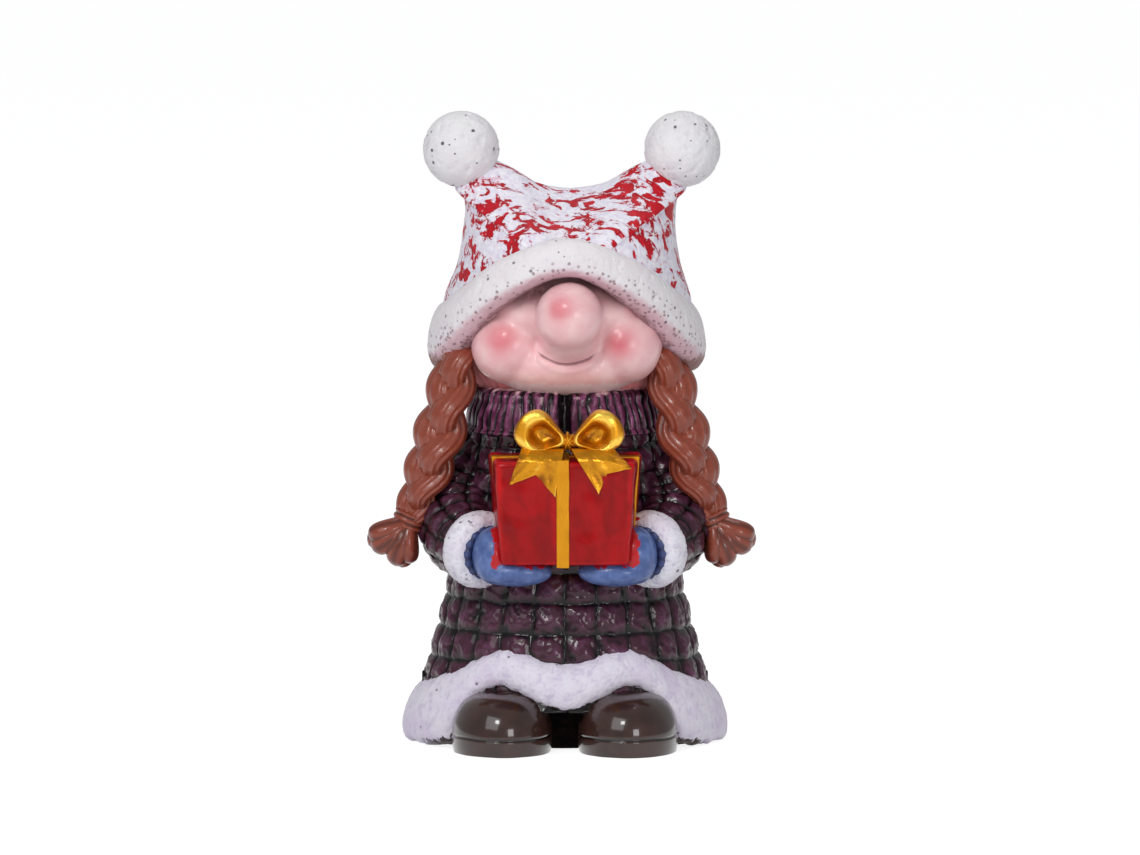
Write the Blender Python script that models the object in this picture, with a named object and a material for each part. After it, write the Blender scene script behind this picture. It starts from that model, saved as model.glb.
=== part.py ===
"""Gnome statue: a girl gnome in a quilted coat and a two-cornered hat, holding a gift box.

The real one is cast in one piece and painted, so the model is one solid. Each form that the
sculptor built up (hat, braids, coat, boots and so on) is shaped by itself and hidden, and one
Boolean union joins them all. The figure faces -Y, stands on z = 0, and +X is the viewer's right.
"""

import math

import bmesh
import bpy
from mathutils import Vector

MM = 0.001
TURN = 2 * math.pi
WELD = 0.002 * MM

# Base: the forms reach a little below the table, and a cut at z = 0 makes the flat foot
BASE_ALLOWANCE = 2.0 * MM
PLUG_HEIGHT = 16.0 * MM
PLUG_HALF_WIDTH = 34.0 * MM
PLUG_FRONT_DEPTH = 19.0 * MM
PLUG_BACK_DEPTH = 27.5 * MM

# Coat body, as half widths (X) and half depths (Y) from its foot to its neck
COAT_EDGE_HEIGHT = 12.0 * MM
WAIST_HEIGHT = 42.2 * MM
CHEST_HEIGHT = 60.0 * MM
NECK_HEIGHT = 77.0 * MM
FOOT_HALF_WIDTH = 36.5 * MM
FOOT_HALF_DEPTH = 31.0 * MM
WAIST_HALF_WIDTH = 25.8 * MM
WAIST_HALF_DEPTH = 22.6 * MM
CHEST_HALF_WIDTH = 25.2 * MM
CHEST_HALF_DEPTH = 21.2 * MM
NECK_HALF_WIDTH = 21.0 * MM
NECK_HALF_DEPTH = 18.6 * MM

# Quilting: square pads between stitched seams
QUILT_COLUMNS = 24
QUILT_PUFF = 1.3 * MM
SEAM_SLOPE = 1.3 * MM
SKIRT_ROW = 6.8 * MM
CHEST_ROW = 5.8 * MM
SLEEVE_COLUMNS = 8
SLEEVE_ROWS = 6
SLEEVE_PUFF = 1.0 * MM

# Fur hem: its lower and upper edges, as (degrees from the front, height)
HEM_THICKNESS = 8.8 * MM
HEM_SUNK = 1.5 * MM
HEM_LOWER = [
    (0, 9.9 * MM), (26, 15.1 * MM), (37, 12.6 * MM), (43, 6.5 * MM), (48, 1.6 * MM), (75, 0.4 * MM),
    (105, -0.9 * MM), (180, -1.1 * MM),
]
HEM_UPPER = [(0, 19.7 * MM), (27, 23.6 * MM), (58, 18.0 * MM), (90, 13.2 * MM), (180, 12.6 * MM)]

# Boots
BOOT_SPACING = 29.7 * MM
BOOT_HALF_WIDTH = 12.0 * MM
BOOT_HALF_LENGTH = 15.5 * MM
BOOT_TOE_REACH = 39.0 * MM
BOOT_HEIGHT = 14.4 * MM
SOLE_HEIGHT = 4.2 * MM
WELT_GROOVE = 0.5 * MM
TOE_FULLNESS = 0.62

# Sleeves, cuffs and mittens, for the side at +X
SHOULDER = Vector((18.0, 1.0, 68.5)) * MM
ELBOW = Vector((31.5, -6.5, 50.5)) * MM
WRIST = Vector((20.3, -24.0, 48.0)) * MM
SHOULDER_RADIUS = 8.0 * MM
ELBOW_RADIUS = 8.8 * MM
WRIST_RADIUS = 7.2 * MM
CUFF_RADIUS = 9.2 * MM
CUFF_THICKNESS = 7.2 * MM
CUFF_WALL = 6.4 * MM
PALM_SIZE = Vector((4.9, 5.8, 6.6)) * MM
FINGER_REACH = 17.0 * MM
FINGER_THICKNESS = 6.4 * MM
FINGER_DEPTH = 10.6 * MM
FINGER_CURL = 1.6 * MM

# Gift box: it is a little wider at the back and at the top, as the mould needs
GIFT_HALF_WIDTH = 15.8 * MM
GIFT_FLARE = 1.6 * MM
GIFT_TOP_FLARE = 1.6 * MM
GIFT_SEAT = 2.4 * MM
GIFT_HEIGHT = 24.6 * MM
GIFT_FRONT = 38.0 * MM
GIFT_DEPTH = 23.0 * MM
GIFT_EDGE = 0.9 * MM
RIBBON_WIDTH = 3.0 * MM
RIBBON_PROUD = 0.5 * MM

# Bow
BOW_LOOP_HALF_WIDTH = 5.7 * MM
BOW_LOOP_HALF_HEIGHT = 4.8 * MM
BOW_LOOP_DEPTH = 7.0 * MM
BOW_SPREAD = 7.4 * MM
BOW_RIM = 1.5 * MM
BOW_SETBACK = 4.5 * MM
BOW_RISE = 4.4 * MM
BOW_SHIFT = 0.6 * MM
KNOT_RADIUS = 2.1 * MM
TAIL_THICKNESS = 1.3 * MM
TAIL_TOP_WIDTH = 10.0 * MM
TAIL_RISE = 3.0 * MM
# where each tail's two tips lie, away from the knot and down, and how far the notch between them is cut in
TAIL_OUTER_TIP = {-1: (13.8 * MM, 8.4 * MM), 1: (15.2 * MM, 4.4 * MM)}
TAIL_INNER_TIP = {-1: (2.9 * MM, 11.2 * MM), 1: (7.4 * MM, 10.5 * MM)}
TAIL_NOTCH = {-1: (-0.9 * MM, -3.8 * MM), 1: (-2.0 * MM, -1.7 * MM)}

# Collar
COLLAR_HEIGHT = 11.0 * MM
COLLAR_HALF_WIDTH = 23.0 * MM
COLLAR_HALF_DEPTH = 21.8 * MM
COLLAR_TAPER = 2.0 * MM
COLLAR_RIBS = 32
RIB_HEIGHT = 0.7 * MM
COLLAR_NOTCH = 2.2 * MM
COLLAR_SUNK = 3.0 * MM

# Head: its middle stands above the collar's top
HEAD_RISE = 11.5 * MM
HEAD_SIZE = Vector((22.4, 21.5, 17.5)) * MM
HAIR_SIZE = Vector((25.2, 23.5, 16.5)) * MM
CHEEK_SPACING = 27.4 * MM
CHEEK_RADIUS = 9.0 * MM
CHIN_SIZE = Vector((18.5, 11.4, 8.0)) * MM
CHIN_PROUD = 2.4 * MM
CHIN_DROP = 5.6 * MM
BROW_SIZE = Vector((18.5, 14.0, 9.0)) * MM
BROW_PLACE = Vector((0.0, -9.5, 5.2)) * MM
LIP_SIZE = Vector((7.4, 9.5, 7.4)) * MM
LIP_DROP = 4.6 * MM
NOSE_SIZE = Vector((8.1, 7.9, 8.2)) * MM
NOSE_REACH = 34.8 * MM
NOSE_PLACE = Vector((0.6, 0.0, 7.0)) * MM
CHEEK_DROP = 1.2 * MM

# Hat brim: its lower and upper edges, as (degrees from the front, height over the head's middle)
BRIM_HALF_WIDTH = 34.4 * MM
BRIM_HALF_DEPTH = 31.4 * MM
BRIM_THICKNESS = 7.4 * MM
# the brim's outside stands this far out from the crown's foot, and the crown is this much fuller front to back
BRIM_WALL = 5.0 * MM
CROWN_FULLNESS = 0.6 * MM
BRIM_FLARE = 3.0 * MM
BRIM_ROLL = 1.8 * MM
BRIM_LOWER = [(0, 16.2 * MM), (30, 9.0 * MM), (60, -3.4 * MM), (85, -8.4 * MM), (180, -8.0 * MM)]
BRIM_UPPER = [(0, 25.4 * MM), (30, 20.8 * MM), (60, 12.6 * MM), (85, 8.4 * MM), (180, 8.0 * MM)]

# Hat: the crown's half outline, measured from the head's middle, then its thickness
HAT_LEAN = 1.2 * MM
CROWN_FOOT_HALF_WIDTH = BRIM_HALF_WIDTH - BRIM_WALL
CROWN_MID_HALF_WIDTH = 26.4 * MM
CROWN_TOP_HALF_WIDTH = 24.8 * MM
CROWN_FOOT_HALF_DEPTH = BRIM_HALF_DEPTH - BRIM_WALL + CROWN_FULLNESS
CROWN_TUCK = 9.0 * MM
SADDLE_RISE = 35.2 * MM
HORN_SPACING = 52.4 * MM
HORN_RISE = 44.3 * MM
HORN_HALF_THICKNESS = 5.0 * MM
POMPOM_RADIUS = 9.2 * MM

# Braids, for the side at +X, and how far both stand to the left
BRAID_SHIFT = -0.8 * MM
BRAID_TOP = Vector((23.6, -10.5, 96.5)) * MM
BRAID_BEND = Vector((29.4, -14.0, 72.6)) * MM
BRAID_TIE = Vector((36.2, -12.8, 53.4)) * MM
BRAID_HALF_WIDTH = 5.0 * MM
BRAID_TIE_HALF_WIDTH = 3.1 * MM
BRAID_STRANDS = 5
STRAND_GROOVE = 1.0 * MM
TUFT_REACH = Vector((8.2, 0.0, -8.6)) * MM
TUFT_HALF_WIDTH = 6.6 * MM
TUFT_LOCKS = 5
LOCK_GROOVE = 0.8 * MM

# How finely each form is faceted, as counts
BALL_COLUMNS = 14
BALL_ROWS = 9
RING_ROWS = 8
HEM_COLUMNS = 34
BRIM_COLUMNS = 34

COLLAR_TOP = NECK_HEIGHT - COLLAR_SUNK + COLLAR_HEIGHT
HEAD_SHIFT = 0.4 * MM
HEAD_MIDDLE = Vector((HEAD_SHIFT, 0, COLLAR_TOP + HEAD_RISE))


def linear(red, green, blue):
    """A screen colour of 0 to 255 as the linear values that a shader takes."""
    return [((part / 255 + 0.055) / 1.055) ** 2.4 for part in (red, green, blue)]


PAINTS = {
    "coat_plum": (linear(66, 40, 56), 0.28, 0.0),
    "fur_white": (linear(222, 216, 232), 0.62, 0.0),
    "hat_red": (linear(214, 120, 134), 0.5, 0.0),
    "skin_pink": (linear(232, 168, 172), 0.42, 0.0),
    "hair_brown": (linear(122, 62, 44), 0.32, 0.0),
    "mitten_blue": (linear(92, 110, 164), 0.34, 0.0),
    "gift_red": (linear(178, 20, 26), 0.3, 0.0),
    "ribbon_gold": (linear(206, 146, 36), 0.34, 0.6),
    "boot_brown": (linear(58, 40, 38), 0.2, 0.0),
}


def clear_scene():
    for thing in list(bpy.data.objects):
        bpy.data.objects.remove(thing)


def paint(name):
    """One painted finish of the statue."""
    if name in bpy.data.materials:
        return bpy.data.materials[name]
    colour, roughness, metallic = PAINTS[name]
    made = bpy.data.materials.new(name)
    made.use_nodes = True
    shader = made.node_tree.nodes["Principled BSDF"]
    shader.inputs["Base Color"].default_value = (*colour, 1)
    shader.inputs["Roughness"].default_value = roughness
    shader.inputs["Metallic"].default_value = metallic
    return made


def form(name, skin, paint_name, collection):
    """Turns a bmesh into a hidden form that the union takes up."""
    mesh = bpy.data.meshes.new(name)
    skin.to_mesh(mesh)
    skin.free()
    mesh.materials.append(paint(paint_name))
    made = bpy.data.objects.new(name, mesh)
    made.hide_render = True
    made.display_type = "WIRE"
    collection.objects.link(made)
    return made


def rolled_grid(around, along, place):
    """A grid rolled up along its width, with point (column, row) where place says, and its ends closed."""
    skin = bmesh.new()
    bmesh.ops.create_grid(skin, x_segments=around, y_segments=along, size=1)
    for point in skin.verts:
        column = round((point.co.x + 1) / 2 * around)
        row = round((point.co.y + 1) / 2 * along)
        point.co = place(column % around, row)
    bmesh.ops.remove_doubles(skin, verts=skin.verts, dist=WELD)
    bmesh.ops.holes_fill(skin, edges=skin.edges, sides=0)
    bmesh.ops.recalc_face_normals(skin, faces=skin.faces)
    return skin


def between(at, stops):
    """The smooth curve through stops of (place, value), read at a place."""
    places = [place for place, _ in stops]
    values = [value for _, value in stops]
    at = min(max(at, places[0]), places[-1])
    left = next(k for k in range(len(stops) - 1) if at <= places[k + 1])
    right = left + 1
    width = places[right] - places[left]
    share = (at - places[left]) / width

    def slope(k):
        low, high = max(k - 1, 0), min(k + 1, len(stops) - 1)
        return (values[high] - values[low]) / (places[high] - places[low]) * width

    rise = values[right] - values[left]
    start, end = slope(left), slope(right)
    bend = share * (1 - share)
    straight = values[left] + rise * share
    return straight + bend * ((1 - share) * (start - rise) - share * (end - rise))


def between_sides(turn, stops):
    """A value round the figure, the same on both sides, from stops of (degrees from the front, value)."""
    away = abs((math.degrees(turn) + 180) % 360 - 180)
    front, back = stops[1], stops[-2]
    return between(away, [(-front[0], front[1]), *stops, (360 - back[0], back[1])])


def fuller(part):
    """A sine or cosine pushed outward, so that a round section turns into a rounded band."""
    return math.copysign(abs(part) ** 0.8, part)


def along_path(points, share):
    """A point on the smooth curve through points, and the curve's direction there."""
    last = len(points) - 1
    step = 0.01

    def at(where):
        return Vector([between(where, [(k / last, p[axis]) for k, p in enumerate(points)]) for axis in range(3)])

    return at(share), (at(min(share + step, 1)) - at(max(share - step, 0))).normalized()


def pillow(share):
    """How full a quilted pad is across its width, from 0 at the seam to 1 in the middle."""
    return math.sqrt(max(0, 1 - (2 * (share % 1) - 1) ** 2))


def quilt(skin, puff):
    """Raises a pad on each square of a rolled grid, and leaves a seam round it."""
    squares = [face for face in skin.faces if len(face.verts) == 4]
    bmesh.ops.inset_individual(
        skin, faces=squares, thickness=SEAM_SLOPE, depth=puff, use_even_offset=True,
        use_interpolate=False, use_relative_offset=False,
    )


def egg(name, centre, size, paint_name, collection, around=BALL_COLUMNS, along=BALL_ROWS):
    """A ball with a half size of its own along each axis."""

    def place(column, row):
        turn, rise = TURN * column / around, math.pi * row / along
        flat = math.sin(rise)
        way = Vector((flat * math.sin(turn), -flat * math.cos(turn), -math.cos(rise)))
        return centre + Vector((way.x * size.x, way.y * size.y, way.z * size.z))

    return form(name, rolled_grid(around, along, place), paint_name, collection)


def coat_half_width(height):
    return between(height, [
        (0, FOOT_HALF_WIDTH), (WAIST_HEIGHT, WAIST_HALF_WIDTH),
        (CHEST_HEIGHT, CHEST_HALF_WIDTH), (NECK_HEIGHT, NECK_HALF_WIDTH),
    ])


def coat_half_depth(height):
    return between(height, [
        (0, FOOT_HALF_DEPTH), (WAIST_HEIGHT, WAIST_HALF_DEPTH),
        (CHEST_HEIGHT, CHEST_HALF_DEPTH), (NECK_HEIGHT, NECK_HALF_DEPTH),
    ])


def make_coat():
    """The quilted body, which the other forms join."""
    skirt_rows = math.ceil((WAIST_HEIGHT - COAT_EDGE_HEIGHT) / SKIRT_ROW)
    chest_rows = math.ceil((NECK_HEIGHT - WAIST_HEIGHT) / CHEST_ROW)

    def place(column, row):
        from_waist = row - skirt_rows
        height = WAIST_HEIGHT + from_waist * (SKIRT_ROW if from_waist < 0 else CHEST_ROW)
        turn = TURN * column / QUILT_COLUMNS
        return Vector((
            coat_half_width(height) * math.sin(turn),
            -coat_half_depth(height) * math.cos(turn),
            height,
        ))

    mesh = bpy.data.meshes.new("gnome_statue")
    skin = rolled_grid(QUILT_COLUMNS, skirt_rows + chest_rows, place)
    quilt(skin, QUILT_PUFF)
    skin.to_mesh(mesh)
    skin.free()
    mesh.materials.append(paint("coat_plum"))
    made = bpy.data.objects.new("gnome_statue", mesh)
    bpy.context.scene.collection.objects.link(made)
    return made


def make_plug(collection):
    """The foot inside the skirt. It stands back from the front, where the boots come out."""
    around = 28

    def place(column, row):
        turn = TURN * column / around
        depth = PLUG_FRONT_DEPTH if math.cos(turn) > 0 else PLUG_BACK_DEPTH
        height = (-BASE_ALLOWANCE, PLUG_HEIGHT)[row]
        return Vector((PLUG_HALF_WIDTH * math.sin(turn), -depth * math.cos(turn), height))

    form("foot_plug", rolled_grid(around, 1, place), "boot_brown", collection)


def make_hem(collection):
    """The fur band round the skirt's foot, lifted in two arches over the boots."""
    def place(column, row):
        turn, round_section = TURN * (column + 0.5) / HEM_COLUMNS, TURN * row / RING_ROWS
        low, high = between_sides(turn, HEM_LOWER), between_sides(turn, HEM_UPPER)
        height = (low + high) / 2 + (high - low) / 2 * math.sin(round_section)
        out = HEM_THICKNESS / 2 * math.cos(round_section) - HEM_SUNK
        seat = max(height, 0)
        return Vector((
            (coat_half_width(seat) + out) * math.sin(turn),
            -(coat_half_depth(seat) + out) * math.cos(turn),
            height,
        ))

    form("hem", rolled_grid(HEM_COLUMNS, RING_ROWS, place), "fur_white", collection)


def make_boot(side, collection):
    """A round toe on a thick sole, with a groove at the welt."""
    around = 18
    dome_steps = 5
    floor = -0.6 * BASE_ALLOWANCE
    groove = 1 - WELT_GROOVE / BOOT_HALF_WIDTH
    profile = [(0, floor), (0.95, floor), (1, 0.3 * SOLE_HEIGHT), (1, 0.85 * SOLE_HEIGHT), (groove, SOLE_HEIGHT)]
    for step in range(dome_steps + 1):
        rise = math.pi / 2 * (0.12 + 0.88 * step / dome_steps)
        profile.append((math.cos(rise) ** TOE_FULLNESS, SOLE_HEIGHT + (BOOT_HEIGHT - SOLE_HEIGHT) * math.sin(rise)))
    middle = Vector((side * BOOT_SPACING / 2, BOOT_HALF_LENGTH - BOOT_TOE_REACH, 0))

    def place(column, row):
        share, height = profile[row]
        turn = TURN * column / around
        return middle + Vector((
            share * BOOT_HALF_WIDTH * math.sin(turn),
            -share * BOOT_HALF_LENGTH * math.cos(turn),
            height,
        ))

    form(f"boot_{side_name(side)}", rolled_grid(around, len(profile) - 1, place), "boot_brown", collection)


def side_name(side):
    return "left" if side < 0 else "right"


def sided(point, side):
    """A point that is given for +X, put on its own side."""
    return Vector((side * point.x, point.y, point.z))


def make_sleeve(side, collection):
    """A quilted tube from the shoulder round the elbow to the wrist."""

    def place(column, row):
        share = row / SLEEVE_ROWS
        legs = [(1 - share) ** 2, 2 * share * (1 - share), share ** 2]
        centre = SHOULDER * legs[0] + ELBOW * legs[1] + WRIST * legs[2]
        way = ((ELBOW - SHOULDER) * (1 - share) + (WRIST - ELBOW) * share).normalized()
        outward = (Vector((1, 0, 0)) - way * way.x).normalized()
        across = way.cross(outward)
        radius = between(share, [(0, SHOULDER_RADIUS), (0.5, ELBOW_RADIUS), (1, WRIST_RADIUS)])
        turn = TURN * (column + 0.5) / SLEEVE_COLUMNS
        return sided(centre + radius * (outward * math.cos(turn) + across * math.sin(turn)), side)

    skin = rolled_grid(SLEEVE_COLUMNS, SLEEVE_ROWS, place)
    quilt(skin, SLEEVE_PUFF)
    form(f"sleeve_{side_name(side)}", skin, "coat_plum", collection)


def wrist_way():
    return (WRIST - ELBOW).normalized()


def make_cuff(side, collection):
    """A ring of fur round the wrist."""
    around = 18
    way = wrist_way()
    level = way.cross(Vector((0, 0, 1))).normalized()
    upright = level.cross(way)
    middle_radius = CUFF_RADIUS - CUFF_WALL / 2

    def place(column, row):
        turn, round_section = TURN * column / around, TURN * row / RING_ROWS
        radius = middle_radius + CUFF_WALL / 2 * math.cos(round_section)
        ring = level * math.cos(turn) + upright * math.sin(turn)
        return sided(WRIST + ring * radius + way * CUFF_THICKNESS / 2 * math.sin(round_section), side)

    form(f"cuff_{side_name(side)}", rolled_grid(around, RING_ROWS, place), "fur_white", collection)


def gift_floor():
    """The height of the gift's underside, which rests in the mittens."""
    return WRIST.z - GIFT_SEAT


def make_mitten(side, collection):
    """The palm beside the gift and the fingers under it."""
    palm = WRIST + wrist_way() * (CUFF_THICKNESS / 2 + PALM_SIZE.y * 0.55)
    egg(f"palm_{side_name(side)}", sided(palm, side), PALM_SIZE, "mitten_blue", collection, 12, 8)
    start = palm.x + PALM_SIZE.x * 0.7
    around, rings = 10, 7
    half_height = FINGER_THICKNESS / 2

    def place(column, row):
        turn, rise = TURN * column / around, math.pi * row / rings
        along = (1 - math.cos(rise)) / 2
        full = math.sin(rise) ** 0.8
        centre = Vector((
            start - along * FINGER_REACH,
            palm.y - FINGER_DEPTH * 0.12,
            gift_floor() - half_height * 0.8 + FINGER_CURL * (2 * along - 0.8) ** 2,
        ))
        thick = full * half_height * math.sin(turn)
        deep = full * FINGER_DEPTH / 2 * math.cos(turn)
        return sided(centre + Vector((0, deep, thick)), side)

    form(f"fingers_{side_name(side)}", rolled_grid(around, rings, place), "mitten_blue", collection)


def make_block(name, low, high, flare, top_flare, edge, edge_steps, paint_name, collection):
    """A box that widens by flare to its back and by top_flare to its top, with rounded edges."""
    skin = bmesh.new()
    bmesh.ops.create_cube(skin, size=1)
    for corner in skin.verts:
        share = corner.co + Vector((0.5, 0.5, 0.5))
        spread = (flare * (share.y - 0.5) + top_flare * share.z) * (1 if share.x > 0.5 else -1)
        corner.co = Vector([low[axis] + (high[axis] - low[axis]) * share[axis] for axis in range(3)])
        corner.co.x += spread
    bmesh.ops.bevel(
        skin, geom=skin.edges, offset=edge, offset_type="OFFSET", segments=edge_steps, profile=0.5,
        affect="EDGES", clamp_overlap=True, material=-1,
    )
    return form(name, skin, paint_name, collection)


def make_gift(collection):
    """The gift and the two ribbons that cross on its top."""
    floor, roof = gift_floor(), gift_floor() + GIFT_HEIGHT
    low = Vector((-GIFT_HALF_WIDTH, -GIFT_FRONT, floor))
    high = Vector((GIFT_HALF_WIDTH, GIFT_DEPTH - GIFT_FRONT, roof))
    make_block("gift", low, high, GIFT_FLARE, GIFT_TOP_FLARE, GIFT_EDGE, 2, "gift_red", collection)
    proud = Vector((0, RIBBON_PROUD, RIBBON_PROUD))
    half = RIBBON_WIDTH / 2
    make_block(
        "ribbon_front", Vector((-half, low.y, low.z)) - proud, Vector((half, high.y, high.z)) + proud,
        0, 0, RIBBON_PROUD * 0.4, 1, "ribbon_gold", collection,
    )
    middle = (low.y + high.y) / 2
    flare_share = RIBBON_WIDTH / GIFT_DEPTH
    make_block(
        "ribbon_side",
        Vector((low.x - RIBBON_PROUD, middle - half, low.z + GIFT_EDGE)),
        Vector((high.x + RIBBON_PROUD, middle + half, high.z + RIBBON_PROUD)),
        GIFT_FLARE * flare_share, GIFT_TOP_FLARE, RIBBON_PROUD * 0.4, 1, "ribbon_gold", collection,
    )


def make_bow_loop(side, collection):
    """A puffed ribbon loop, open to the front, with a hollow inside its rim."""
    around = 12
    rim = BOW_RIM / BOW_LOOP_HALF_HEIGHT
    half = BOW_LOOP_DEPTH / 2
    profile = [
        (0, half), (0.8, half * 0.8), (1, -half * 0.2), (0.94, -half * 0.85),
        (1 - rim * 0.8, -half), (1 - rim, -half * 0.6), (0.5, half * 0.1), (0, half * 0.2),
    ]
    knot = bow_knot()
    middle = knot + Vector((side * BOW_SPREAD, BOW_LOOP_DEPTH * 0.1, BOW_LOOP_HALF_HEIGHT * 0.48))

    def place(column, row):
        share, depth = profile[row]
        turn = TURN * column / around
        # the outline narrows to a point at the knot
        inward = max(0, -math.cos(turn)) ** 2
        pull = 1 - 0.45 * inward * abs(math.sin(turn))
        return middle + Vector((
            side * share * BOW_LOOP_HALF_WIDTH * math.cos(turn) * (1 + 0.18 * inward),
            depth,
            share * BOW_LOOP_HALF_HEIGHT * math.sin(turn) * pull - 0.35 * share * BOW_LOOP_HALF_HEIGHT * inward,
        ))

    name = f"bow_loop_{side_name(side)}"
    form(name, rolled_grid(around, len(profile) - 1, place), "ribbon_gold", collection)


def bow_knot():
    """The middle of the knot, over the front edge of the gift."""
    return Vector((BOW_SHIFT, BOW_SETBACK - GIFT_FRONT, gift_floor() + GIFT_HEIGHT + BOW_RISE))


def make_bow_tail(side, collection):
    """A ribbon end that falls over the gift's front edge and is cut to a swallowtail."""
    knot = bow_knot()
    roof = gift_floor() + GIFT_HEIGHT
    across_steps, down_steps = 4, 4
    skin = bmesh.new()
    bmesh.ops.create_grid(skin, x_segments=across_steps, y_segments=down_steps, size=1)
    for point in skin.verts:
        across, down = (point.co.x + 1) / 2, (1 - point.co.y) / 2
        cut_in = 1 - abs(2 * across - 1)
        end_x, end_drop = [
            TAIL_INNER_TIP[side][k] * (1 - across) + TAIL_OUTER_TIP[side][k] * across + TAIL_NOTCH[side][k] * cut_in
            for k in range(2)
        ]
        x = (KNOT_RADIUS * 0.4 + across * TAIL_TOP_WIDTH) * (1 - down) + end_x * down
        z = roof + TAIL_RISE - end_drop * down
        swell = KNOT_RADIUS * (1 - down) ** 2
        y = -GIFT_FRONT - TAIL_THICKNESS * 0.25 - 0.4 * swell * math.sin(math.pi * across)
        over_edge = min(1, max(0, (z - roof) / TAIL_RISE))
        y += over_edge ** 1.5 * BOW_SETBACK * 0.7
        point.co = Vector((knot.x + side * x, y, z))
    bmesh.ops.recalc_face_normals(skin, faces=skin.faces)
    if sum(face.normal.y for face in skin.faces) > 0:
        bmesh.ops.reverse_faces(skin, faces=skin.faces)
    bmesh.ops.solidify(skin, geom=skin.faces, thickness=TAIL_THICKNESS)
    bmesh.ops.recalc_face_normals(skin, faces=skin.faces)
    form(f"bow_tail_{side_name(side)}", skin, "ribbon_gold", collection)


def make_collar(collection):
    """The ribbed roll of the collar, with a notch where the coat opens."""
    around = COLLAR_RIBS * 2
    floor = COLLAR_TOP - COLLAR_HEIGHT
    profile = [(0, 0), (0.94, 0), (1, 0.16), (0.99, 0.68), (0.88, 1), (0, 1)]

    def place(column, row):
        share, rise = profile[row]
        turn = TURN * column / around
        rib = RIB_HEIGHT * (column % 2) if share > 0.9 else 0
        away = abs((math.degrees(turn) + 180) % 360 - 180)
        notch = COLLAR_NOTCH * max(0, 1 - away / 6) if 0 < share else 0
        taper = COLLAR_TAPER * rise
        return Vector((
            share * (COLLAR_HALF_WIDTH - taper + rib - notch) * math.sin(turn),
            -share * (COLLAR_HALF_DEPTH - taper + rib - notch) * math.cos(turn),
            floor + COLLAR_HEIGHT * rise,
        ))

    form("collar", rolled_grid(around, len(profile) - 1, place), "coat_plum", collection)


def make_head(collection):
    """The face in front of the hair. The lip's round foot over the chin makes the smile."""
    egg("face", HEAD_MIDDLE, HEAD_SIZE, "skin_pink", collection, 18, 10)
    egg("hair", HEAD_MIDDLE + Vector((0, 4, -1)) * MM, HAIR_SIZE, "hair_brown", collection, 16, 8)
    front = HEAD_SIZE.y
    for side in (-1, 1):
        cheek = HEAD_MIDDLE + Vector((side * CHEEK_SPACING / 2, 0.3 * CHEEK_RADIUS - front * 0.8, -CHEEK_DROP))
        size = Vector((1, 1, 1)) * CHEEK_RADIUS
        egg(f"cheek_{side_name(side)}", cheek, size, "skin_pink", collection)
    chin = HEAD_MIDDLE + Vector((0, CHIN_SIZE.y - front - CHIN_PROUD, -CHIN_DROP))
    egg("chin", chin, CHIN_SIZE, "skin_pink", collection, 14, 8)
    egg("brow", HEAD_MIDDLE + BROW_PLACE, BROW_SIZE, "skin_pink", collection, 14, 8)
    nose = HEAD_MIDDLE + NOSE_PLACE + Vector((0, NOSE_SIZE.y - NOSE_REACH, 0))
    egg("nose", nose, NOSE_SIZE, "skin_pink", collection, 16, 10)
    lip = nose + Vector((0, (NOSE_REACH - front) * 0.55, -LIP_DROP))
    egg("lip", lip, LIP_SIZE, "skin_pink", collection)


def crown_outline():
    """The hat's outline from the front, round from the saddle, as offsets from the head's middle."""
    horn = HORN_SPACING / 2
    neck = POMPOM_RADIUS * 0.56
    saddle_side = SADDLE_RISE + 0.11 * (HORN_RISE - SADDLE_RISE)
    half = [
        (0, SADDLE_RISE),
        (horn * 0.3, saddle_side),
        (horn - 2 * neck, SADDLE_RISE + 0.62 * (HORN_RISE - SADDLE_RISE)),
        (horn - 0.3 * neck, HORN_RISE - 0.2 * neck),
        (CROWN_TOP_HALF_WIDTH, SADDLE_RISE - 0.2 * neck),
        (CROWN_TOP_HALF_WIDTH + 0.2 * (CROWN_MID_HALF_WIDTH - CROWN_TOP_HALF_WIDTH), 0.75 * SADDLE_RISE),
        (CROWN_MID_HALF_WIDTH, 0.5 * SADDLE_RISE),
        (CROWN_FOOT_HALF_WIDTH, 0.18 * SADDLE_RISE),
        (CROWN_FOOT_HALF_WIDTH * 0.8, -0.05 * SADDLE_RISE),
        (0, -0.1 * SADDLE_RISE),
    ]
    mirrored = [(-x, z) for x, z in reversed(half[1:-1])]
    return half + mirrored + [half[0]]


def hat_lean(rise):
    """How far the hat stands to the right at a height over the head's middle."""
    return HAT_LEAN * rise / HORN_RISE


def behind_brim(across, forward, rise):
    """How far a place at the hat's front is down behind the brim: 0 at its upper edge, 1 at its lower one."""
    if forward <= 0:
        return 0
    turn = math.atan2(across, forward)
    low, high = between_sides(turn, BRIM_LOWER), between_sides(turn, BRIM_UPPER)
    return min(1, max(0, (high - rise) / (high - low)))


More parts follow.
